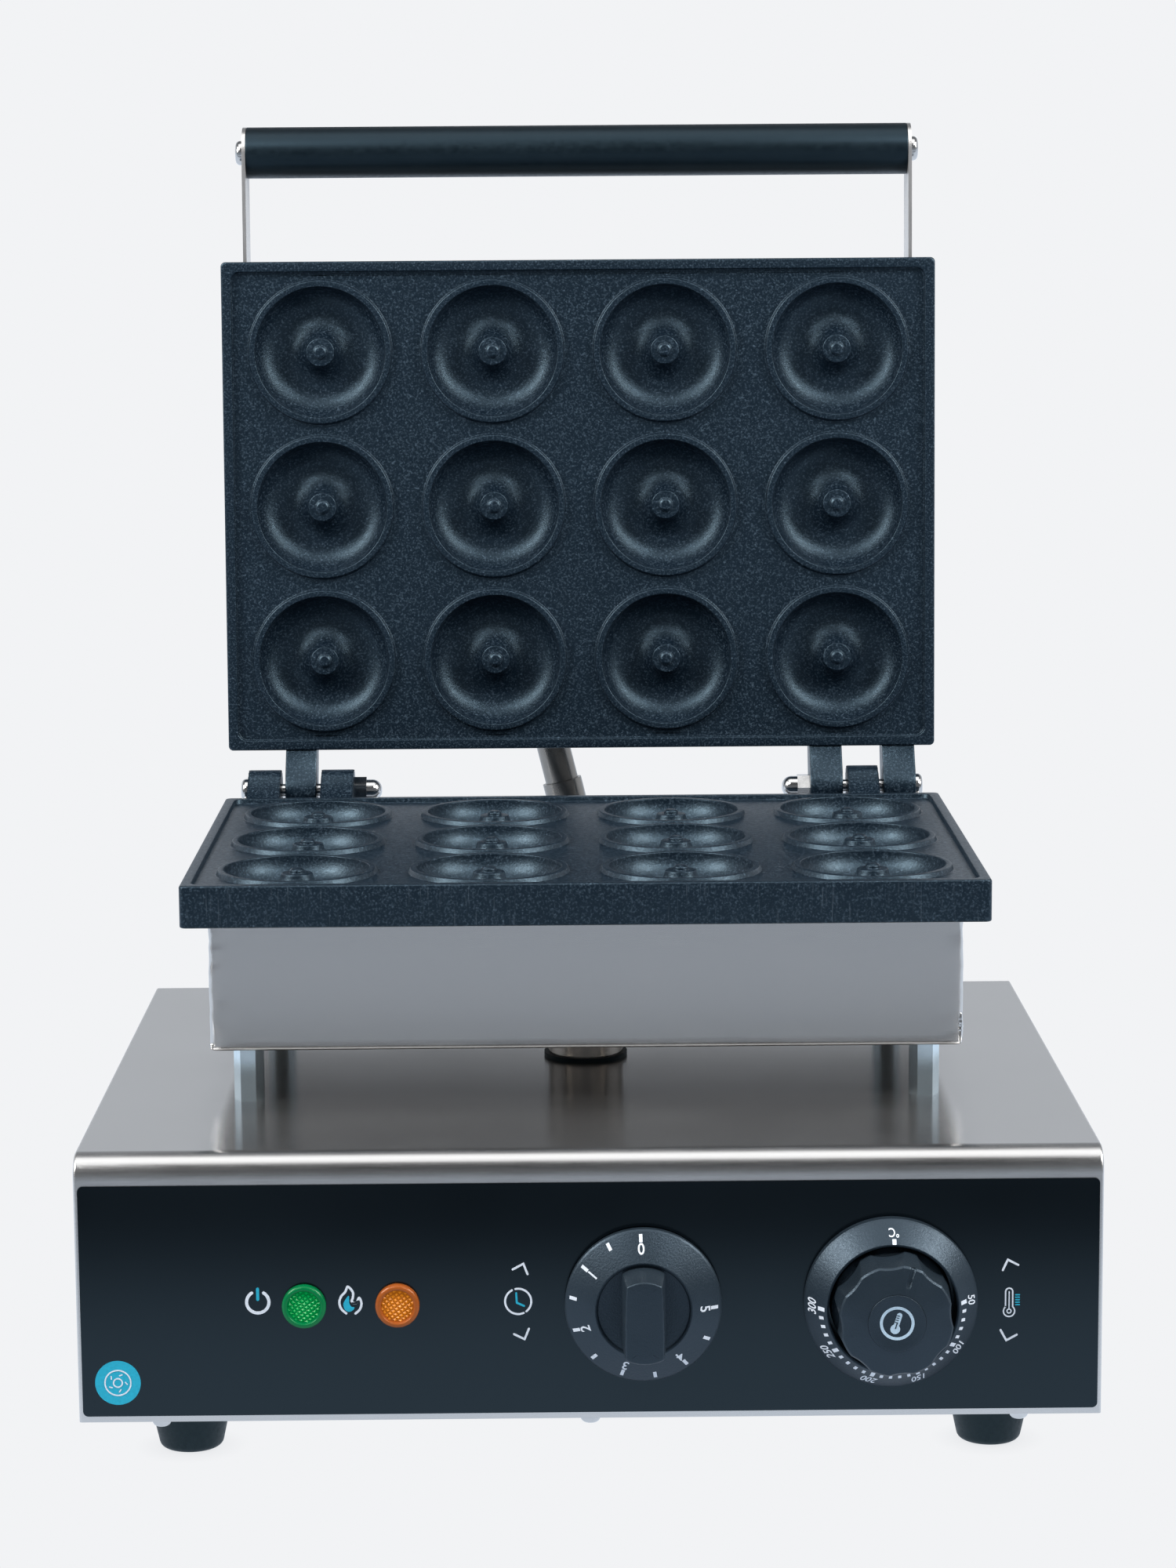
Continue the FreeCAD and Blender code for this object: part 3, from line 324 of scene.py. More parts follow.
SHEET = (0.545, 0.54, 0.535), (0.62, 0.617, 0.614), 0.205
STEEL = brushed("stainless_brushed", *SHEET)
# stainless with painted shade, darker and brown on the faces that look down, for the lower housing's
# underside
STEEL_SHADED_BELOW = brushed("stainless_shaded_below", *SHEET, below=(0.17, 0.147, 0.125))
STEEL_UPRIGHT = brushed("stainless_bar", (0.62, 0.61, 0.60), (0.72, 0.71, 0.70), 0.34, (1600, 1600, 40),
                        (0.02, 0.1, 1), 0.05, 0.4)
CHROME = polished("steel_polished", (0.66, 0.66, 0.66), 0.10)
TUBE_STEEL = polished("steel_tube_drawn", (0.64, 0.60, 0.55), 0.13, 30)
CONDUIT_STEEL = polished("steel_conduit_dull", (0.30, 0.285, 0.265), 0.18, 30)
ZINC = polished("steel_zinc_plated", (0.74, 0.86, 0.92), 0.14, 45)
NONSTICK = nonstick()
RUBBER = moulded("rubber_feet", (0.0022, 0.0042, 0.0052), (0.0034, 0.0056, 0.0068), 0.50, 700, 0.25,
                 tint=(0.5, 0.75, 0.85))
KNOB = moulded("knob_grained_plastic", (0.0105, 0.0165, 0.0230), (0.0130, 0.0200, 0.0275), 0.35, 1300, 0.85,
               0.00013)
KNOB_SMOOTH = moulded("knob_smooth_plastic", (0.006, 0.010, 0.014), (0.008, 0.013, 0.018), 0.30, 1300, 0.30)
HANDLE = moulded("handle_phenolic", (0.0008, 0.0020, 0.0032), (0.0016, 0.0034, 0.0050), 0.36, 500, 0.10,
                 tint=(0.42, 0.68, 0.88))
CASES = moulded("control_case_plastic", (0.30, 0.29, 0.26), (0.36, 0.34, 0.31), 0.5)
CERAMIC = moulded("glazed_ceramic", (0.70, 0.68, 0.62), (0.78, 0.76, 0.70), 0.3, 300, 0.1)
WOOL = moulded("ceramic_wool_mat", (0.75, 0.74, 0.70), (0.86, 0.85, 0.82), 0.9, 500, 1.0, 0.0006)
SLEEVE = moulded("wire_sleeve_glassfibre", (0.55, 0.52, 0.45), (0.66, 0.63, 0.55), 0.7, 1200, 0.8)
COPPER = polished("copper_drawn", (0.86, 0.46, 0.30), 0.2)
SHEATH = polished("heater_sheath_steel", (0.34, 0.33, 0.32), 0.35)
GREEN = lens("lamp_green", (0.0005, 0.30, 0.060), (0.0005, 0.120, 0.036), 0.54)
AMBER = lens("lamp_amber", (0.70, 0.24, 0.012), (0.26, 0.065, 0.012), 0.36)
WHITE_INK = printed("ink_white", (0.66, 0.71, 0.78))
PALE_INK = printed("ink_pale_blue", (0.42, 0.56, 0.68))
TEAL_INK = printed("ink_teal", (0.002, 0.36, 0.52))
FILM = overlay_film()

FINISH = {"brushed_stainless": STEEL, "polished_steel": CHROME, "zinc_steel": ZINC,
          "nonstick_casting": NONSTICK, "foot_rubber": RUBBER, "overlay_film": FILM,
          "knob_plastic": KNOB, "handle_black": HANDLE, "control_plastic": CASES,
          "green_lens": GREEN, "amber_lens": AMBER, "heater_sheath": SHEATH, "copper_tube": COPPER,
          "ceramic_block": CERAMIC, "ceramic_wool": WOOL, "wire_sleeve": SLEEVE}
SPECIAL = {"handle_bar_left": STEEL_UPRIGHT, "handle_bar_right": STEEL_UPRIGHT,
           "pedestal_pipe": TUBE_STEEL, "conduit_tube": CONDUIT_STEEL, "bottom_plate_screws": CHROME,
           "foot_and_standoff_screws": CHROME, "conduit_ferrule": CONDUIT_STEEL}

for node_name, node in frame["nodes"].items():
    for index, old in enumerate(node.data.materials):
        slot_name = old.name.split(".")[0] if old else ""
        node.data.materials[index] = SPECIAL.get(node_name, FINISH.get(slot_name, STEEL))


# ---- mesh helpers

def placed(name, data):
    made = bpy.data.objects.new(name, data)
    bpy.context.scene.collection.objects.link(made)
    return made


def new_object(name, bm, material):
    """A smooth-shaded mesh object, in metres."""
    mesh = bpy.data.meshes.new(name)
    bm.to_mesh(mesh)
    bm.free()
    mesh.materials.append(material)
    mesh.shade_smooth()
    return placed(name, mesh)


def piece(name, bm, material, body, replaces, place, angle):
    """A piece built in millimetres that rides on a body and stands for the CAD nodes it replaces."""
    bmesh.ops.scale(bm, vec=(MM, MM, MM), verts=bm.verts)
    bmesh.ops.remove_doubles(bm, verts=bm.verts, dist=1e-7)
    bmesh.ops.recalc_face_normals(bm, faces=bm.faces)
    made = new_object(name, bm, material)
    made.data.set_sharp_from_angle(angle=math.radians(angle))
    made.matrix_world = place
    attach(made, body)
    if replaces:
        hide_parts(*replaces)


def filleted(corners, steps, closed=False):
    """Polyline through (u, v, radius) corners with each corner turned into an arc."""
    out = []
    count = len(corners)
    for i, corner in enumerate(corners):
        here = Vector(corner[:2])
        radius = corner[2] if len(corner) > 2 else 0
        if not radius or (not closed and i in (0, count - 1)):
            out.append(tuple(here))
            continue
        back = (Vector(corners[i - 1][:2]) - here).normalized()
        on = (Vector(corners[(i + 1) % count][:2]) - here).normalized()
        half = back.angle(on) / 2
        if half > math.radians(89):
            out.append(tuple(here))
            continue
        cut = radius / math.tan(half)
        centre = here + (back + on).normalized() * (radius / math.sin(half))
        first = here + back * cut - centre
        last = here + on * cut - centre
        turn = first.angle_signed(last)
        for step in range(steps + 1):
            a = -turn * step / steps
            c, s = math.cos(a), math.sin(a)
            out.append((centre.x + first.x * c - first.y * s, centre.y + first.x * s + first.y * c))
    return out


def loop(bm, points):
    return [bm.verts.new(p) for p in points]


def ring_edges(bm, ring):
    """The edges that faces already have round a closed loop."""
    return [bm.edges.get(pair) for pair in zip(ring, ring[1:] + ring[:1])]


def skin(bm, loops):
    """Quads between successive closed loops of equal length."""
    for low, high in zip(loops, loops[1:]):
        for i in range(len(low)):
            j = (i + 1) % len(low)
            bm.faces.new((low[i], low[j], high[j], high[i]))


def lathe(bm, profile, segments, centre=(0, 0), shape=None):
    """Turned surface from (r, z) points. An end on the axis is closed with a fan."""
    rings = []
    for r, z in profile:
        ring = []
        for i in range(segments):
            a = 2 * math.pi * i / segments
            rr, zz = shape(r, z, a) if shape else (r, z)
            ring.append((centre[0] + rr * math.cos(a), centre[1] + rr * math.sin(a), zz))
        rings.append(None if r < 1e-9 else loop(bm, ring))
    for before, after, low, high in zip(profile, profile[1:], rings, rings[1:]):
        if low and high:
            skin(bm, [low, high])
        elif low or high:
            middle = bm.verts.new((*centre, after[1] if low else before[1]))
            ring = low or high
            for i in range(segments):
                bm.faces.new((ring[i], ring[(i + 1) % segments], middle))
    return rings


def rectangle(half_x, half_y, radius, steps, run_x=1, run_y=1):
    """Rounded rectangle as points, its straight sides cut into equal runs."""
    arcs = []
    for quarter, (sx, sy) in enumerate(((1, 1), (-1, 1), (-1, -1), (1, -1))):
        cx, cy = sx * (half_x - radius), sy * (half_y - radius)
        turns = [math.pi / 2 * (quarter + i / steps) for i in range(steps + 1)]
        arcs.append([(cx + radius * math.cos(a), cy + radius * math.sin(a)) for a in turns])
    points = []
    for here, following, runs in zip(arcs, arcs[1:] + arcs[:1], (run_x, run_y, run_x, run_y)):
        start, stop = Vector(here[-1]), Vector(following[0])
        points += here + [tuple(start.lerp(stop, i / runs)) for i in range(1, runs)]
    return points


def tube_along(bm, points, radius_at, segments):
    """Round tube along a polyline; radius_at gives the radius at a length along it."""
    points = [Vector(p) for p in points]
    along = 0.0
    side = Vector((1, 0, 0))
    rings = []
    for i, p in enumerate(points):
        direction = (points[min(i + 1, len(points) - 1)] - points[max(i - 1, 0)]).normalized()
        side = (side - direction * side.dot(direction)).normalized()
        other = direction.cross(side)
        if i:
            along += (p - points[i - 1]).length
        r = radius_at(along)
        rings.append(loop(bm, [p + (side * math.cos(a) + other * math.sin(a)) * r
                               for a in (2 * math.pi * k / segments for k in range(segments))]))
    skin(bm, rings)
    bm.faces.new(rings[0])
    bm.faces.new(rings[-1])


# ---- mould plates

# lengths from here on are in millimetres, apart from the hose, the stage and the lights
RIM_W, FIELD_DEPTH = 4.3, 2.0
MOULD_PITCH = (74.0, 66.4)
CAVITY_R, SECTION_R, POST_DROP = 16.9, 11.1, 2.0
KNUCKLE_R, EAR_W, LUG_W, KNUCKLE_GAP, HINGE_X = 9.0, 14.0, 13.3, 2.1, 121.5


def mould_profile():
    """(r, z) from the post's nub out to the flat field, in millimetres from the rim plane."""
    start = math.asin(POST_DROP / SECTION_R)
    torus = [(CAVITY_R - SECTION_R * math.cos(t), -SECTION_R * math.sin(t))
             for t in (start + (math.pi - start) * i / 30 for i in range(31))]
    corners = [(0, -0.15), (1.9, -0.15, 0.7), (2.9, -0.9, 0.6), (2.95, -POST_DROP, 0.35),
               (torus[0][0], torus[0][1], 0.45)] + torus[1:-1]
    corners += [(torus[-1][0], 0, 0.35), (30.4, 0, 0.5), (31.1, -FIELD_DEPTH, 0.35), (33.0, -FIELD_DEPTH)]
    return filleted(corners, 4)


def rim_profile():
    """(inset from the plate's edge, z) from the field over the rim and down the side."""
    return filleted([(6.2, -FIELD_DEPTH), (RIM_W + 0.15, -FIELD_DEPTH, 0.3), (RIM_W - 0.1, 0, 0.4),
                     (0, 0, 0.8), (0, -PLATE_T / MM, 0.7), (3, -PLATE_T / MM)], 4)


def knuckle(bm, x0, width):
    """Hinge boss with its neck, in plate coordinates, edges rounded."""
    axis = (HINGE_POINT.y - PLATE_CENTRE.y) / MM
    lift = (HINGE_POINT.z - PLATE_CENTRE.z) / MM
    edge = PLATE_D / MM / 2
    bottom = -PLATE_T / MM
    outline = [(axis + KNUCKLE_R * math.cos(math.radians(a)), lift + KNUCKLE_R * math.sin(math.radians(a)))
               for a in range(-90, 141, 10)]
    outline += [(edge, -1.0), (edge - 3, -1.0), (edge - 3, bottom + 1.5), (edge, bottom + 2.9)]
    ends = [loop(bm, [(x, y, z) for y, z in outline]) for x in (x0, x0 + width)]
    skin(bm, ends)
    edges = [e for end in ends for e in bm.faces.new(end).edges]
    bmesh.ops.bevel(bm, geom=edges, offset=0.7, segments=3, profile=0.5, affect="EDGES", clamp_overlap=True)


def mould_plate(name, node, body, place):
    """Casting with its twelve ring cavities, rim and hinge bosses; side marks the faces with file marks."""
    bm = bmesh.new()
    side = bm.verts.layers.float.new("side")
    holes = []
    for row in range(3):
        for column in range(4):
            centre = ((column - 1.5) * MOULD_PITCH[0], (row - 1) * MOULD_PITCH[1])
            holes += ring_edges(bm, lathe(bm, mould_profile(), 88, centre)[-1])
    loops = []
    for inset, z in rim_profile():
        points = rectangle(PLATE_W / MM / 2 - inset, PLATE_D / MM / 2 - inset, 2.0 + 0.45 * inset, 8)
        loops.append(loop(bm, [(x, y, z) for x, y in points]))
    skin(bm, loops)
    for verts, (inset, z) in zip(loops, rim_profile()):
        for v in verts:
            v[side] = 1.0 if inset < 0.5 and z < -0.5 else 0.0
    bm.faces.new(loops[-1])
    bmesh.ops.triangle_fill(bm, use_beauty=True, edges=holes + ring_edges(bm, loops[0]), normal=(0, 0, 1))
    shift = LUG_W / 2 + KNUCKLE_GAP
    knuckle(bm, -HINGE_X - shift - EAR_W, EAR_W)
    knuckle(bm, -HINGE_X + shift, EAR_W)
    knuckle(bm, HINGE_X - LUG_W / 2, LUG_W)
    piece(name, bm, NONSTICK, body, (node,), place @ Matrix.Translation(PLATE_CENTRE), 40)


mould_plate("lower_mould_casting", "lower_mould_plate", "base", Matrix.Identity(4))
mould_plate("upper_mould_casting", "upper_mould_plate", "lid", TO_LID)


# ---- housings

def housing(name, node, body, place, seed):
    """Welded sheet box: slightly uneven at its corners, with a few small dents."""
    bm = bmesh.new()
    half_x, half_y, height = HOUSING_W / MM / 2, HOUSING_D / MM / 2, HOUSING_H / MM
    *bend, top = filleted([(6, 0), (0, 0, 2.0), (0, height)], 6)
    wall_z = bend[-1][1]
    levels = bend + [(0, wall_z + (top[1] - wall_z) * i / 20) for i in range(1, 21)]
    # each dent: its x, y and z, how wide and how deep
    dents = ((-half_x + 5.6, -half_y, 16, 1.9, 0.35), (half_x - 7, -half_y, 16, 1.4, 0.16),
             (-half_x + 3, -half_y, 43, 3.5, 0.45), (-half_x + 2, -half_y, 35, 2.6, 0.4),
             (half_x - 2, -half_y, 44, 3.0, 0.4))
    loops = []
    for inset, z in levels:
        ring = []
        for x, y in rectangle(half_x - inset, half_y - inset, max(2.5 - inset, 0.6), 6, 96, 64):
            corner = max(0.0, 1 - ((half_x - abs(x)) + (half_y - abs(y))) / 14)
            rough = noise.noise(Vector((x * 0.22, y * 0.22, z * 0.30 + seed)))
            push = (0.18 + 0.75 * corner * corner) * (0.45 + 0.55 * rough) * min(1.0, z / 2)
            push = max(0.0, push) * (0.25 + 0.75 * corner)
            for dx, dy, dz, size, depth in dents:
                far = ((x - dx) ** 2 + (y - dy) ** 2 + (z - dz) ** 2) / size ** 2
                push += depth * math.exp(-far) if far < 9 else 0.0
            inward = Vector((-x * max(0.0, 1 - (half_x - abs(x)) / 4) / half_x,
                             -y * max(0.0, 1 - (half_y - abs(y)) / 4) / half_y))
            step = inward.normalized() * push if inward.length > 1e-6 else Vector((0, 0))
            ring.append((x + step.x, y + step.y, z))
        loops.append(loop(bm, ring))
    skin(bm, loops)
    bm.faces.new(loops[0])
    bm.faces.new(loops[-1])
    # the lower housing gets the steel with painted shade on its faces that look down
    piece(name, bm, STEEL_SHADED_BELOW if body == "base" else STEEL, body, (node,),
                 place @ Matrix.Translation(HOUSING_CENTRE), 50)


housing("lower_housing_sheet", "lower_housing", "base", Matrix.Identity(4), 3.0)
housing("upper_housing_sheet", "upper_housing", "lid", TO_LID, 9.0)


def weld_beads(name, body, place, seed):
    """Small uneven weld runs up the four corners of a housing."""
    bm = bmesh.new()
    half_x, half_y = HOUSING_W / MM / 2, HOUSING_D / MM / 2
    runs = ((-1, -1, 1.0, 2.2, 1.3), (1, -1, 0.8, 12.0, 1.15), (-1, 1, 1.0, 5.0, 1.2), (1, 1, 1.0, 7.0, 1.2))
    for sx, sy, start, length, radius in runs:
        points = []
        for i in range(18):
            t = i / 17
            wave = noise.noise(Vector((seed + sx, sy, t * 6)))
            points.append((sx * (half_x - 1.25 + 0.12 * wave), sy * (half_y - 1.25 + 0.10 * wave),
                           start + length * t))

        def radius_at(s):
            taper = math.sin(math.pi * min(1, max(0.04, s / length))) ** 0.5
            return radius * (0.30 + 0.70 * taper) * (1 + 0.10 * math.sin(s * 5.2))

        tube_along(bm, points, radius_at, 14)
    piece(name, bm, CHROME, body, (), place @ Matrix.Translation(HOUSING_CENTRE), 60)


weld_beads("lower_housing_welds", "base", Matrix.Identity(4), 1.0)
weld_beads("upper_housing_welds", "lid", TO_LID, 4.0)


# ---- timer knob

def cone(low, high):
    """Height of a straight cone through two (r, z) points."""
    return lambda x, y: low[1] + (low[0] - math.hypot(x, y)) * (high[1] - low[1]) / (low[0] - high[0])


DIAL_LOW, DIAL_HIGH = (27.9, 3.3), (17.6, 9.8)
WELL_R, WELL_Z = 16.9, 8.6
GRIP_TOP, GRIP_HALF, GRIP_END = 26.0, 7.9, 16.0


def grip_outline(inset):
    """Bar with round ends: two long sides and two arcs about the dial's centre."""
    half, radius = GRIP_HALF - inset, GRIP_END - inset
    reach = math.sqrt(radius ** 2 - half ** 2)
    turn = math.asin(half / radius)
    corners = []
    for side in (1, -1):
        corners.append((side * half, -side * reach, 1.1))
        corners += [(side * half, side * reach * k / 12) for k in range(-10, 11)]
        corners.append((side * half, side * reach, 1.1))
        for k in range(1, 12):
            a = math.pi / 2 * side + (2 * turn * k / 12 - turn)
            corners.append((radius * math.cos(a), radius * math.sin(a)))
    return filleted(corners, 4, True)


def timer_knob():
    """Dial with a sloping scale and a slightly worn grip bar that narrows towards its top end."""
    bm = bmesh.new()
    dial = [(0, 0.8), (26.0, 0.8), (27.0, 0, 0.3), (28.5, 0, 0.3), (28.5, 2.6, 0.4), (*DIAL_LOW, 0.4),
            (*DIAL_HIGH, 0.5), (WELL_R, 9.5, 0.2), (WELL_R - 0.3, WELL_Z, 0.4), (0, WELL_Z)]
    lathe(bm, filleted(dial, 4), 128)
    levels = filleted([(0.0, WELL_Z - 1.2), (0.75, GRIP_TOP, 0.9), (4.0, GRIP_TOP)], 5)
    loops = []
    for inset, z in levels:
        ring = []
        for x, y in grip_outline(inset):
            rise = max(0.0, (z - WELL_Z) / (GRIP_TOP - WELL_Z))
            narrow = 1 - 0.10 * rise * max(0.0, (y - 3) / 13) - 0.02 * rise
            worn = 0.16 * rise * noise.noise(Vector((2.0 if x > 0 else -2.0, y * 0.42, z * 0.05)))
            ring.append((x * narrow + (worn if abs(x) > 4 else 0.0), y, z))
        loops.append(loop(bm, ring))
    skin(bm, loops)
    bm.faces.new(loops[0])
    bmesh.ops.triangle_fill(bm, use_beauty=True, edges=ring_edges(bm, loops[-1]), normal=(0, 0, 1))
    piece("timer_dial_knob", bm, KNOB, "timer_dial", ("timer_knob",),
          on_front(*TIMER["pos_m"]), 32)


timer_knob()


# ---- thermostat ring, knob and cap

POINTER = math.radians(90 - 17)
SCALE_LOW, SCALE_HIGH = (30.9, 4.2), (24.0, 12.0)
KNOB_FOOT_R, KNOB_RIM_R, KNOB_RIM_Z, FACE_Z, CAP_R = 22.3, 20.6, 25.2, 27.9, 10.35
HOLLOW_R, HOLLOW_AWAY = 18.0, 37.6


def hollow_limit(angle):
    """Distance from the knob's axis to the nearest of its eight upright hollows."""
    turn = (angle - POINTER) % (math.pi / 4) - math.pi / 8
    return HOLLOW_AWAY * math.cos(turn) - math.sqrt(HOLLOW_R ** 2 - (HOLLOW_AWAY * math.sin(turn)) ** 2)


def knob_shape(r, z, angle):
    """The knob's hollows, which fade at the foot, and the pointer groove in its sloping face."""
    if r < CAP_R + 0.5:
        return r, z
    limit = hollow_limit(angle)
    if z <= KNOB_RIM_Z:
        fade = min(1.0, max(0.0, (z - 7.0) / 1.6))
        return min(r, r + (min(r, limit) - r) * fade), z
    pull = KNOB_RIM_R - min(KNOB_RIM_R, limit)
    share = min(1.0, max(0.0, (r - 12.0) / (KNOB_RIM_R - 12.0)))
    across = abs(r * math.sin(angle - POINTER)) if math.cos(angle - POINTER) > 0 else 9.0
    groove = 0.6 * max(0.0, 1 - (across / 0.85) ** 4) * min(1.0, max(0.0, (r - CAP_R - 2.6) / 0.8))
    return r - pull * share, z - groove


def cap_height(x, y):
    """Height of the cap's slightly dished face."""
    return 27.6 + 0.7 * min(1.0, math.hypot(x, y) / 9.8) ** 2


def thermostat():
    """Fixed scale ring, and the knob and cap that turn inside it."""
    x, y, z = THERMOSTAT["pos_m"]
    bm = bmesh.new()
    ring = filleted([(23.2, 0), (31.5, 0, 0.2), (31.5, 3.4, 0.4), (*SCALE_LOW, 0.5), (*SCALE_HIGH, 0.5),
                     (23.2, 11.6, 0.25), (23.2, 0.01)], 4)
    lathe(bm, ring, 160)
    piece("thermostat_scale", bm, KNOB, "base", ("thermostat_scale_ring",),
          on_front(x, PANEL_Y, z), 32)

    bm = bmesh.new()
    slope = (KNOB_FOOT_R - KNOB_RIM_R) / KNOB_RIM_Z
    side = [(KNOB_FOOT_R - slope * h, h) for h in (4, 6.5, 7, 7.4, 7.8, 8.2, 8.6, 9.5, 12, 16, 20, 23.5)]
    face = [(19.9 - 0.95 * k, 26.0 + 0.19 * k) for k in range(1, 10)]
    profile = filleted([(0, 1.0), (20.8, 1.0), (KNOB_FOOT_R, 0, 0.3)] + side
                       + [(KNOB_RIM_R, KNOB_RIM_Z, 0.5), (19.9, 26.0, 0.35)] + face
                       + [(CAP_R + 0.1, FACE_Z), (CAP_R + 0.1, 26.0), (0, 26.0)], 4)
    lathe(bm, profile, 360, (0, 0), knob_shape)
    piece("thermostat_knob_moulded", bm, KNOB, "thermostat_dial", ("thermostat_knob",),
          on_front(x, y, z), 32)

    bm = bmesh.new()
    dish = [(9.8 * k / 8, cap_height(9.8 * k / 8, 0)) for k in range(7, -1, -1)]
    lathe(bm, filleted([(0, 26.1), (CAP_R, 26.1), (CAP_R, 28.3, 0.2), (9.8, 28.3)], 5) + dish, 96)
    piece("thermostat_cap", bm, KNOB, "thermostat_dial", ("thermostat_knob_cap",),
          on_front(x, y, z), 32)


thermostat()


# ---- pilot lamps

PYRAMID_PITCH, PYRAMID_H, GRID_R, GRID_TURN = 1.5, 0.75, 7.7, math.radians(35)
AROUND_PEAK = ((-1, -1), (0, -1), (1, -1), (1, 0), (1, 1), (0, 1), (-1, 1), (-1, 0))


def lamp(name, node, material):
    """Lamp lens: a smooth raised rim round a grid of small pyramids. core is how brightly a point glows."""
    low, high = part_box(node)
    bm = bmesh.new()
    core = bm.verts.layers.float.new("core")
    rim = [(5.6, 1.2), (5.9, 2.3, 0.3), (6.3, 3.15, 0.6), (8.0, 3.15, 1.3), (8.0, 0.0, 0.1), (5.6, 0.0),
           (5.6, 1.2)]
    lathe(bm, filleted(rim, 5), 72)
    reach = range(-11, 12)
    spots = {}
    for i in reach:
        for j in reach:
            x, y = i * PYRAMID_PITCH / 2, j * PYRAMID_PITCH / 2
            far = math.hypot(x, y)
            if far > GRID_R:
                continue
            peak = PYRAMID_H if (i % 2 and j % 2) else 0.0
            v = bm.verts.new((x * math.cos(GRID_TURN) - y * math.sin(GRID_TURN),
                              x * math.sin(GRID_TURN) + y * math.cos(GRID_TURN),
                              1.75 + peak - 0.012 * far * far))
            v[core] = 1.0 if peak else 0.35
            spots[i, j] = v
    for i, j in spots:
        ring = [(i + a, j + b) for a, b in AROUND_PEAK]
        if i % 2 and j % 2 and all(k in spots for k in ring):
            for k in range(8):
                bm.faces.new((spots[i, j], spots[ring[k]], spots[ring[(k + 1) % 8]]))
    bmesh.ops.delete(bm, geom=[v for v in bm.verts if not v.link_faces], context="VERTS")
    piece(name, bm, material, "base", (node,), on_front((low.x + high.x) / 2, PANEL_Y, CONTROL_Z), 20)


lamp("green_lamp", "green_lamp_lens", GREEN)
lamp("amber_lamp", "amber_lamp_lens", AMBER)


# ---- handle grip and feet

def handle_grip():
    """Black grip tube with softened ends."""
    low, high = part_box("handle_tie_rod")
    axis_y, axis_z = (low.y + high.y) / 2, (low.z + high.z) / 2
    length = (high.x - low.x) / MM
    bore, radius = 5.0, 11.0
    bm = bmesh.new()
    tube = [(bore, 0), (radius, 0, 0.5), (radius, length, 0.5), (bore, length), (bore, 0.01)]
    lathe(bm, filleted(tube, 5), 96)
    place = Matrix.Translation((low.x, axis_y, axis_z)) @ Matrix.Rotation(math.pi / 2, 4, "Y")
    piece("handle_grip", bm, HANDLE, "lid", ("handle_tube",), place, 40)


handle_grip()


def foot(node):
    """Tapered rubber foot with a rounded tread and a recess for its screw."""
    low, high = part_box(node)
    bm = bmesh.new()
    height = (high.z - low.z) / MM
    profile = filleted([(5.0, 7.5), (5.0, 0.0, 0.5), (11.4, 0.0, 2.6), (12.0, 2.6, 2.0), (15.0, height, 0.6),
                        (2.5, height), (2.5, 7.5), (5.0, 7.5)], 6)
    lathe(bm, profile, 72)
    place = Matrix.Translation(((low.x + high.x) / 2, (low.y + high.y) / 2, low.z))
    piece(node + "_moulded", bm, RUBBER, "base", (node,), place, 40)


for corner in ("front_left", "front_right", "rear_left", "rear_right"):
    foot("foot_" + corner)


# ---- corrugated hose between the halves

OUTLET_X, OUTLET_RISE = -15.6, 0.2 + 16.2 + 24.7
OUTLET_SLANT = math.radians(13.8)
FERRULE_END, FERRULE_AIM = 38.3, 56.3
HOSE_PITCH, HOSE_CUFF, HOSE_RINGS = 3.1 * MM, 5 * MM, 640


def hose():
    """Stripwound hose from the lower housing's gland to the ferrule on the lid."""
    gland_low, gland_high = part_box("hose_gland")
    start = Vector(((gland_low.x + gland_high.x) / 2, gland_high.y, (gland_low.z + gland_high.z) / 2))
    direction = Vector((math.sin(OUTLET_SLANT), math.cos(OUTLET_SLANT), 0))
    outlet = Vector((OUTLET_X * MM, HOUSING_CENTRE.y + HOUSING_D / 2, HINGE_POINT.z + OUTLET_RISE * MM))
    upper = SWING_OPEN @ (outlet + direction * FERRULE_END * MM)
    further = SWING_OPEN @ (outlet + direction * FERRULE_AIM * MM)
    offsets = [(0, 17, 0), (-10, 34.5, 0), (-18.5, 47, 7)]
    route = [start] + [start + Vector(o) * MM for o in offsets] + [further, upper]
    curve = bpy.data.curves.new("hose_route", "CURVE")
    curve.dimensions = "3D"
    spline = curve.splines.new("NURBS")
    spline.points.add(len(route) - 1)
    for point, p in zip(spline.points, route):
        point.co = (*p, 1)
    spline.order_u = 3
    spline.use_endpoint_u = True
    spline.resolution_u = 48
    holder = bpy.data.objects.new("hose_route", curve)
    line = [v.co.copy() for v in bpy.data.meshes.new_from_object(holder).vertices]
    bpy.data.objects.remove(holder)
    spans = [(b - a).length for a, b in zip(line, line[1:])]
    length = sum(spans)
    even = []
    travelled, index = 0.0, 0
    for k in range(HOSE_RINGS + 1):
        want = length * k / HOSE_RINGS
        while index < len(spans) - 1 and travelled + spans[index] < want:
            travelled += spans[index]
            index += 1
        even.append(line[index].lerp(line[index + 1], min(1.0, (want - travelled) / spans[index])))

    def radius_at(s):
        if min(s, length - s) < HOSE_CUFF:
            return 5.45 * MM
        wave = 0.5 + 0.5 * math.cos(2 * math.pi * s / HOSE_PITCH)
        return (4.75 + 0.85 * wave ** 0.7) * MM

    bm = bmesh.new()
    tube_along(bm, even, radius_at, 32)
    bmesh.ops.recalc_face_normals(bm, faces=bm.faces)
    made = new_object("lid_hose", bm, CHROME)
    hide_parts("conduit_hose")
    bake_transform(made)


hose()


# ---- prints

INK = 0.08


def flat(x, y):
    """Height of a flat face above itself, for a print that lies on one."""
    return 0.0


def inked(bm, points, height):
    """Vertices an ink's thickness above the surface whose height is given."""
    return loop(bm, [(p[0], p[1], height(p[0], p[1]) + INK) for p in points])


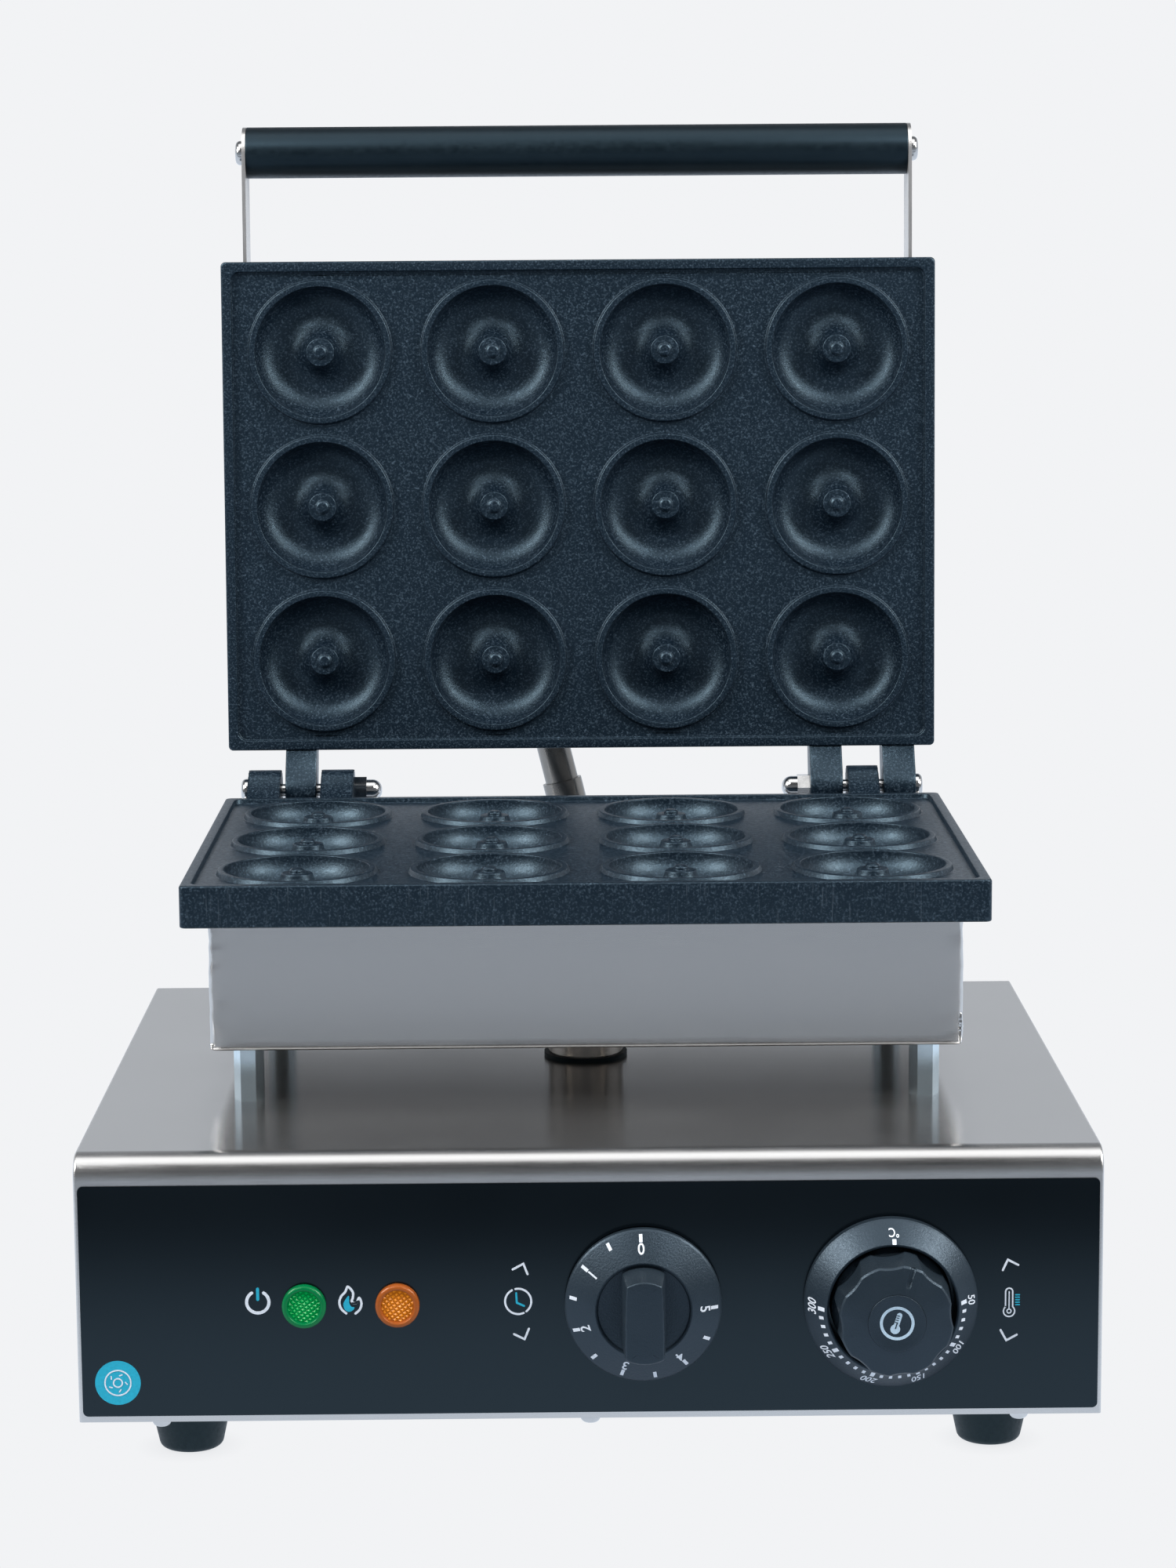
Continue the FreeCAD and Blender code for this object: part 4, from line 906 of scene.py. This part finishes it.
def round_end(tip, direction, radius):
    """Points of the half circle that ends a stroke."""
    side = Vector((-direction.y, direction.x))
    turns = [math.pi / 2 - math.pi * k / 6 for k in range(1, 6)]
    return [tip + (side * math.sin(a) + direction * math.cos(a)) * radius for a in turns]


def stroke(bm, points, width, height=flat, closed=False):
    """Flat ribbon along (x, y) points, with round ends unless it is closed."""
    points = [Vector(p) for p in points]
    count = len(points)
    left, right = [], []
    half = width / 2
    for i, p in enumerate(points):
        before = points[i - 1] if i or closed else p
        after = points[(i + 1) % count] if i < count - 1 or closed else p
        d_in = (p - before).normalized() if (p - before).length > 1e-9 else None
        d_out = (after - p).normalized() if (after - p).length > 1e-9 else None
        d_in, d_out = d_in or d_out, d_out or d_in
        n = Vector((-d_in.y - d_out.y, d_in.x + d_out.x)).normalized()
        n *= half / max(0.4, n.dot(Vector((-d_out.y, d_out.x))))
        left.append(p + n)
        right.append(p - n)
    if closed:
        skin(bm, [inked(bm, left, height), inked(bm, right, height)])
        return
    far_end = round_end(points[-1], (points[-1] - points[-2]).normalized(), half)
    near_end = round_end(points[0], -(points[1] - points[0]).normalized(), half)
    fill(bm, left + far_end + right[::-1] + near_end, height)


def fill(bm, outline, height=flat):
    """Flat shape inside an outline."""
    verts = inked(bm, outline, height)
    edges = [bm.edges.new(pair) for pair in zip(verts, verts[1:] + verts[:1])]
    bmesh.ops.triangle_fill(bm, use_beauty=True, edges=edges, normal=(0, 0, 1))


def arc(cx, cy, r, start, end, steps):
    """Points of an arc, angles in degrees clockwise from the top."""
    turns = [math.radians(start + (end - start) * i / steps) for i in range(steps + 1)]
    return [(cx + r * math.sin(a), cy + r * math.cos(a)) for a in turns]


def smooth(points, closed=False):
    """Catmull-Rom curve through the points."""
    out = []
    count, steps = len(points), 8
    for i in range(count if closed else count - 1):
        p = [Vector(points[(i + k) % count] if closed else points[min(max(i + k, 0), count - 1)])
             for k in (-1, 0, 1, 2)]
        for s in range(steps):
            t = s / steps
            out.append(0.5 * (2 * p[1] + (p[2] - p[0]) * t + (2 * p[0] - 5 * p[1] + 4 * p[2] - p[3]) * t * t
                              + (3 * p[1] - p[0] - 3 * p[2] + p[3]) * t ** 3))
    if not closed:
        out.append(Vector(points[-1]))
    return [tuple(p) for p in out]


def lettering(bm, text, size, place, height, shear, bold):
    """Figures in the built-in typeface, centred, moved by a 2-D placement and laid on a surface."""
    curve = bpy.data.curves.new("figures", "FONT")
    curve.body = text
    curve.size = size
    curve.align_x = "CENTER"
    curve.align_y = "CENTER"
    curve.shear = shear
    curve.offset = bold
    holder = bpy.data.objects.new("figures", curve)
    mesh = bpy.data.meshes.new_from_object(holder)
    bpy.data.objects.remove(holder)
    made = inked(bm, [place(v.co.x, v.co.y) for v in mesh.vertices], height)
    for polygon in mesh.polygons:
        bm.faces.new([made[i] for i in polygon.vertices])
    bpy.data.meshes.remove(mesh)


def around(radius, angle, inverted=False):
    """Placement for a figure at a radius and clockwise angle in degrees, its top outwards or inwards."""
    a = math.radians(angle)
    out = Vector((math.sin(a), math.cos(a)))
    side = Vector((math.cos(a), -math.sin(a)))
    flip = -1 if inverted else 1
    return lambda x, y: tuple(out * (radius + flip * y) + side * (flip * x))


def print_piece(name, bm, material, body, place):
    """Ink as a very thin solid lying on its surface."""
    bmesh.ops.remove_doubles(bm, verts=bm.verts, dist=1e-5)
    bmesh.ops.recalc_face_normals(bm, faces=bm.faces)
    for face in bm.faces:
        if face.normal.z < 0:
            face.normal_flip()
    made = bmesh.ops.extrude_face_region(bm, geom=bm.faces[:] + bm.edges[:] + bm.verts[:])
    for v in made["geom"]:
        if isinstance(v, bmesh.types.BMVert):
            v.co.z -= INK * 0.9
    piece(name, bm, material, body, (), place, 30)


ARROW = 0.78


def moved(points, cx, cy):
    return [(cx + x, cy + y) for x, y in points]


def panel_prints():
    """Generic symbols: power, flame, clock, thermometer, turning arrows and a ring-shaped badge.
    Each is drawn about its own centre x, y, from the middle of the panel's bottom edge."""
    white, teal = bmesh.new(), bmesh.new()
    x, y = -120.5, 44.9
    stroke(white, arc(x, y, 4.05, 32, 328, 60), 1.15)
    stroke(teal, [(x, y + 1.0), (x, y + 4.9)], 1.1)
    x, y = -87.0, 44.8
    flame = [(-1.5, -4.4), (-3.3, -2.6), (-3.9, -0.2), (-3.2, 2.0), (-1.7, 3.7), (-0.75, 5.6), (1.0, 3.6),
             (1.0, 1.5), (0.6, 0.2), (1.4, -0.6), (2.4, -0.3), (3.3, 1.4), (4.1, -0.6), (3.5, -2.9),
             (1.9, -4.5)]
    stroke(white, smooth(moved(flame, x, y)), 0.85)
    drop = [(-2.5, -1.2), (-1.9, 0.5), (-0.5, 2.2), (-0.35, 0.6), (-0.3, -0.6), (0.4, -1.9), (1.5, -2.2),
            (0.9, -3.3), (-0.6, -3.8), (-1.9, -3.0)]
    fill(teal, smooth(moved(drop, x, y), True))
    x, y = -26.0, 44.3
    stroke(white, arc(x, y, 4.75, -12, 142, 50), 0.72)
    stroke(white, arc(x, y, 4.75, 156, 332, 50), 0.72)
    stroke(teal, [(x - 0.7, y + 3.1), (x - 0.5, y - 0.5), (x + 2.1, y - 1.7)], 0.72)
    stroke(white, moved([(-1.9, 12.0), (2.0, 14.1), (3.5, 10.2)], x, y), ARROW)
    stroke(white, moved([(-1.6, -12.3), (2.2, -14.2), (3.8, -10.3)], x, y), ARROW)
    x, y = 152.4, 42.3
    left_side = moved(((-1.3, -1.6), (-1.3, 4.0)), x, y)
    stroke(white, left_side + arc(x, y + 4.0, 1.3, -80, 80, 12) + [(x + 1.3, y - 1.6)]
           + arc(x, y - 3.3, 2.05, 42, 318, 30) + left_side[:1], 0.5)
    stroke(white, [(x, y + 4.0), (x, y - 2.6)], 0.42)
    stroke(white, arc(x, y - 3.3, 0.75, 0, 350, 20), 0.42)
    for i in range(5):
        stroke(teal, [(x + 2.35, y + 2.8 - 0.93 * i), (x + 3.75, y + 2.8 - 0.93 * i)], 0.42)
    stroke(white, moved([(-2.4, 12.1), (-0.6, 16.0), (3.2, 14.0)], x, y), ARROW)
    stroke(white, moved([(-3.0, -10.4), (-0.9, -14.3), (2.9, -12.2)], x, y), ARROW)
    x, y = -172.0, 15.0
    fill(teal, arc(x, y, 8.3, 0, 354, 59))
    badge = bmesh.new()

    def on_teal(u, v):
        return 0.09

    stroke(badge, arc(x, y, 4.7, 0, 354, 59), 0.5, on_teal, True)
    stroke(badge, arc(x, y, 1.6, 0, 350, 35), 0.5, on_teal, True)
    for turn in range(5):
        a = math.radians(72 * turn + 20)
        spoke = [(x + r * math.sin(a + s), y + r * math.cos(a + s)) for r, s in ((2.75, -0.12), (3.45, 0.14))]
        stroke(badge, spoke, 0.42, on_teal)
    place = on_front(0, PANEL_Y, PANEL_BOTTOM)
    print_piece("panel_symbols_white", white, WHITE_INK, "base", place)
    print_piece("panel_symbols_teal", teal, TEAL_INK, "base", place)
    print_piece("panel_badge_ring", badge, WHITE_INK, "base", place)


def tick(bm, angle, half, inner, outer, height):
    """Radial tick mark on a dial, its sides parallel."""
    on_dial = around(0, angle)
    corners = (-half, inner), (half, inner), (half, outer), (-half, outer)
    fill(bm, [on_dial(u, v) for u, v in corners], height)


def dial_prints():
    """The timer's figures 0 to 5, the thermostat's 50 to 300, and the symbol on its cap."""
    bm = bmesh.new()
    lift = cone(DIAL_LOW, DIAL_HIGH)
    for i in range(11):
        a = -2 - 26.73 * i
        tick(bm, a, 0.62, 24.4, 27.0, lift)
        if i % 2 == 0:
            lettering(bm, str(i // 2), 5.1, around(22.1, a), lift, 0, 0.07)
    print_piece("timer_dial_figures", bm, WHITE_INK, "timer_dial", on_front(*TIMER["pos_m"]))

    bm = bmesh.new()
    lift = cone(SCALE_LOW, SCALE_HIGH)
    x, y, z = THERMOSTAT["pos_m"]
    tick(bm, 1, 0.72, 24.1, 25.7, lift)
    lettering(bm, "°C", 3.6, around(27.7, 1, True), lift, 0, 0.04)
    for i in range(26):
        a = 85.6 + 7.368 * i
        if i % 5 == 0:
            tick(bm, a, 0.74, 24.7, 26.9, lift)
            lettering(bm, str(50 + 10 * i), 3.8, around(28.75, a), lift, 0.25, 0.05)
        else:
            tick(bm, a, 0.58, 25.2, 26.7, lift)
    print_piece("thermostat_scale_figures", bm, WHITE_INK, "base", on_front(x, PANEL_Y, z))

    bm = bmesh.new()
    stroke(bm, arc(0, 0, 5.65, 0, 356, 72), 1.05, cap_height, True)
    tilt = around(0, 17)
    stem = [(-0.95, -0.9), (-0.95, 3.0)] + arc(0, 3.0, 0.95, -70, 70, 8)
    stem += [(0.95, 3.0), (0.95, -0.9)] + arc(0, -2.3, 1.75, 35, 325, 24)
    fill(bm, [tilt(u, v) for u, v in stem], cap_height)
    print_piece("thermostat_cap_symbol", bm, PALE_INK, "thermostat_dial", on_front(x, y, z))

    marks = bmesh.new()

    def higher(u, v):
        return cap_height(u, v) + INK

    for k in range(4):
        stroke(marks, [tilt(-0.75, 0.2 + 0.85 * k), tilt(0.15, 0.2 + 0.85 * k)], 0.28, higher)
    stroke(marks, [tilt(0, 0.2), tilt(0, -2.0)], 0.4, higher)
    print_piece("thermostat_cap_marks", marks, KNOB_SMOOTH, "thermostat_dial",
                on_front(x, y, z))


panel_prints()
dial_prints()


# ---- stage, light and camera

BACKGROUND = (0.887, 0.896, 0.913)
FLOOR_HALF, FLOOR_DROP, CONTACT_SHADE = 30.0, 0.0004, 0.010
# brightness of the floor for rays other than the camera's, over 2 m in front of the base
FLOOR_BANDS = ((0.0, 0.96), (0.035, 0.96), (0.08, 0.90), (0.12, 0.66), (0.15, 0.18), (0.18, 0.0),
               (0.225, 0.02), (0.27, 0.62), (0.32, 1.15), (0.42, 0.98), (0.455, 0.38), (1.0, 0.33))
# brightness of the room for the same rays, from straight down to straight up
ROOM_BANDS = ((0.0, 0.40), (0.50, 0.62), (0.56, 0.80), (0.66, 0.76), (0.76, 0.28), (0.90, 0.20), (1.0, 0.20))


def stage():
    """Floor that the camera sees plain and pale, with a painted contact shadow where something stands on it.
    Every other ray sees it in light and dark bands, which the panel, the steel and the plates reflect."""
    material = bpy.data.materials.new("floor_pale")
    nodes = Nodes(material)
    nodes.tree.nodes.clear()
    # painted contact shadow: ambient occlusion darkens the emission the camera sees where something stands on
    # the floor
    shade = nodes.add("ShaderNodeAmbientOcclusion", samples=8)
    shade.inputs["Distance"].default_value = CONTACT_SHADE
    seen = nodes.add("ShaderNodeEmission")
    nodes.link(nodes.mix(shade.outputs["AO"], (0.78, 0.79, 0.81), BACKGROUND), seen.inputs["Color"])
    y = nodes.split(nodes.add("ShaderNodeTexCoord").outputs["Object"])["Y"]
    cast = nodes.add("ShaderNodeEmission")
    bands = nodes.tones(nodes.ramp(y, base_low.y, base_low.y - 2.0), FLOOR_BANDS, (0.90, 1, 1.14))
    nodes.link(bands, cast.inputs["Color"])
    nodes.by_ray(seen.outputs["Emission"], cast.outputs["Emission"], "ShaderNodeOutputMaterial")
    bm = bmesh.new()
    corners = ((-1, -1), (1, -1), (1, 1), (-1, 1))
    bm.faces.new(loop(bm, [(x * FLOOR_HALF, y * FLOOR_HALF, 0) for x, y in corners]))
    floor = new_object("floor", bm, material)
    floor.location.z = -FLOOR_DROP


def world():
    """Background that the camera sees even and pale. Every other ray sees a graded room, darker in front."""
    made = bpy.data.worlds.new("studio")
    bpy.context.scene.world = made
    nodes = Nodes(made)
    nodes.tree.nodes.clear()
    seen = nodes.add("ShaderNodeBackground")
    seen.inputs["Color"].default_value = (*BACKGROUND, 1)
    towards = nodes.split(nodes.add("ShaderNodeTexCoord").outputs["Generated"])
    room = nodes.add("ShaderNodeBackground")
    bands = nodes.tones(nodes.ramp(towards["Z"], -1, 1), ROOM_BANDS, (0.95, 1, 1.07))
    nodes.link(bands, room.inputs["Color"])
    nodes.link(nodes.ramp(towards["Y"], -0.5, 0.3, 0.22, 1.0), room.inputs["Strength"])
    nodes.by_ray(seen.outputs["Background"], room.outputs["Background"], "ShaderNodeOutputWorld")


def softbox(name, place, target, size, power, tint=(1, 1, 1)):
    light = bpy.data.lights.new(name, "AREA")
    light.shape = "RECTANGLE"
    light.size, light.size_y = size
    light.energy = power
    light.color = tint
    made = placed(name, light)
    made.location = place
    made.rotation_euler = (Vector(target) - Vector(place)).to_track_quat("-Z", "Y").to_euler()


CAMERA_AT = (-0.00778, -1.52655, 0.4624)
YAW, PITCH, ROLL = -0.0063, -0.1556, -0.0073
LENS, SENSOR = 88.2, 36


def camera():
    """Camera in front and a little above; angles in radians, lens and sensor in millimetres."""
    data = bpy.data.cameras.new("view")
    data.sensor_width = SENSOR
    data.lens = LENS
    made = placed("view", data)
    ahead = Vector((-math.sin(YAW) * math.cos(PITCH), math.cos(YAW) * math.cos(PITCH), math.sin(PITCH)))
    right = Vector((math.cos(YAW), math.sin(YAW), 0))
    up = right.cross(ahead)
    level = math.cos(ROLL) * right + math.sin(ROLL) * up
    upright = -math.sin(ROLL) * right + math.cos(ROLL) * up
    turn = Matrix((level, upright, -ahead)).transposed()
    made.matrix_world = Matrix.Translation(CAMERA_AT) @ turn.to_4x4()
    bpy.context.scene.camera = made


WARM = (1.0, 0.98, 0.95)
# where each pair of lights points, and its size
SIDE = (0, 0.05, 0.25), (0.6, 0.9)
FRONT = (0, -0.1, 0.15), (0.5, 0.5)

stage()
world()
softbox("light_left", (-1.40, -0.55, 1.30), *SIDE, 38, WARM)
softbox("light_right", (1.45, -0.55, 1.30), *SIDE, 34, WARM)
softbox("light_front_left", (-0.75, -1.15, 1.60), *FRONT, 8)
softbox("light_front_right", (0.85, -1.15, 1.60), *FRONT, 9)
softbox("light_top", (0, -0.30, 1.9), (0, 0, 0.2), (1.8, 1.3), 13)
camera()
bpy.context.scene.view_settings.view_transform = "Standard"
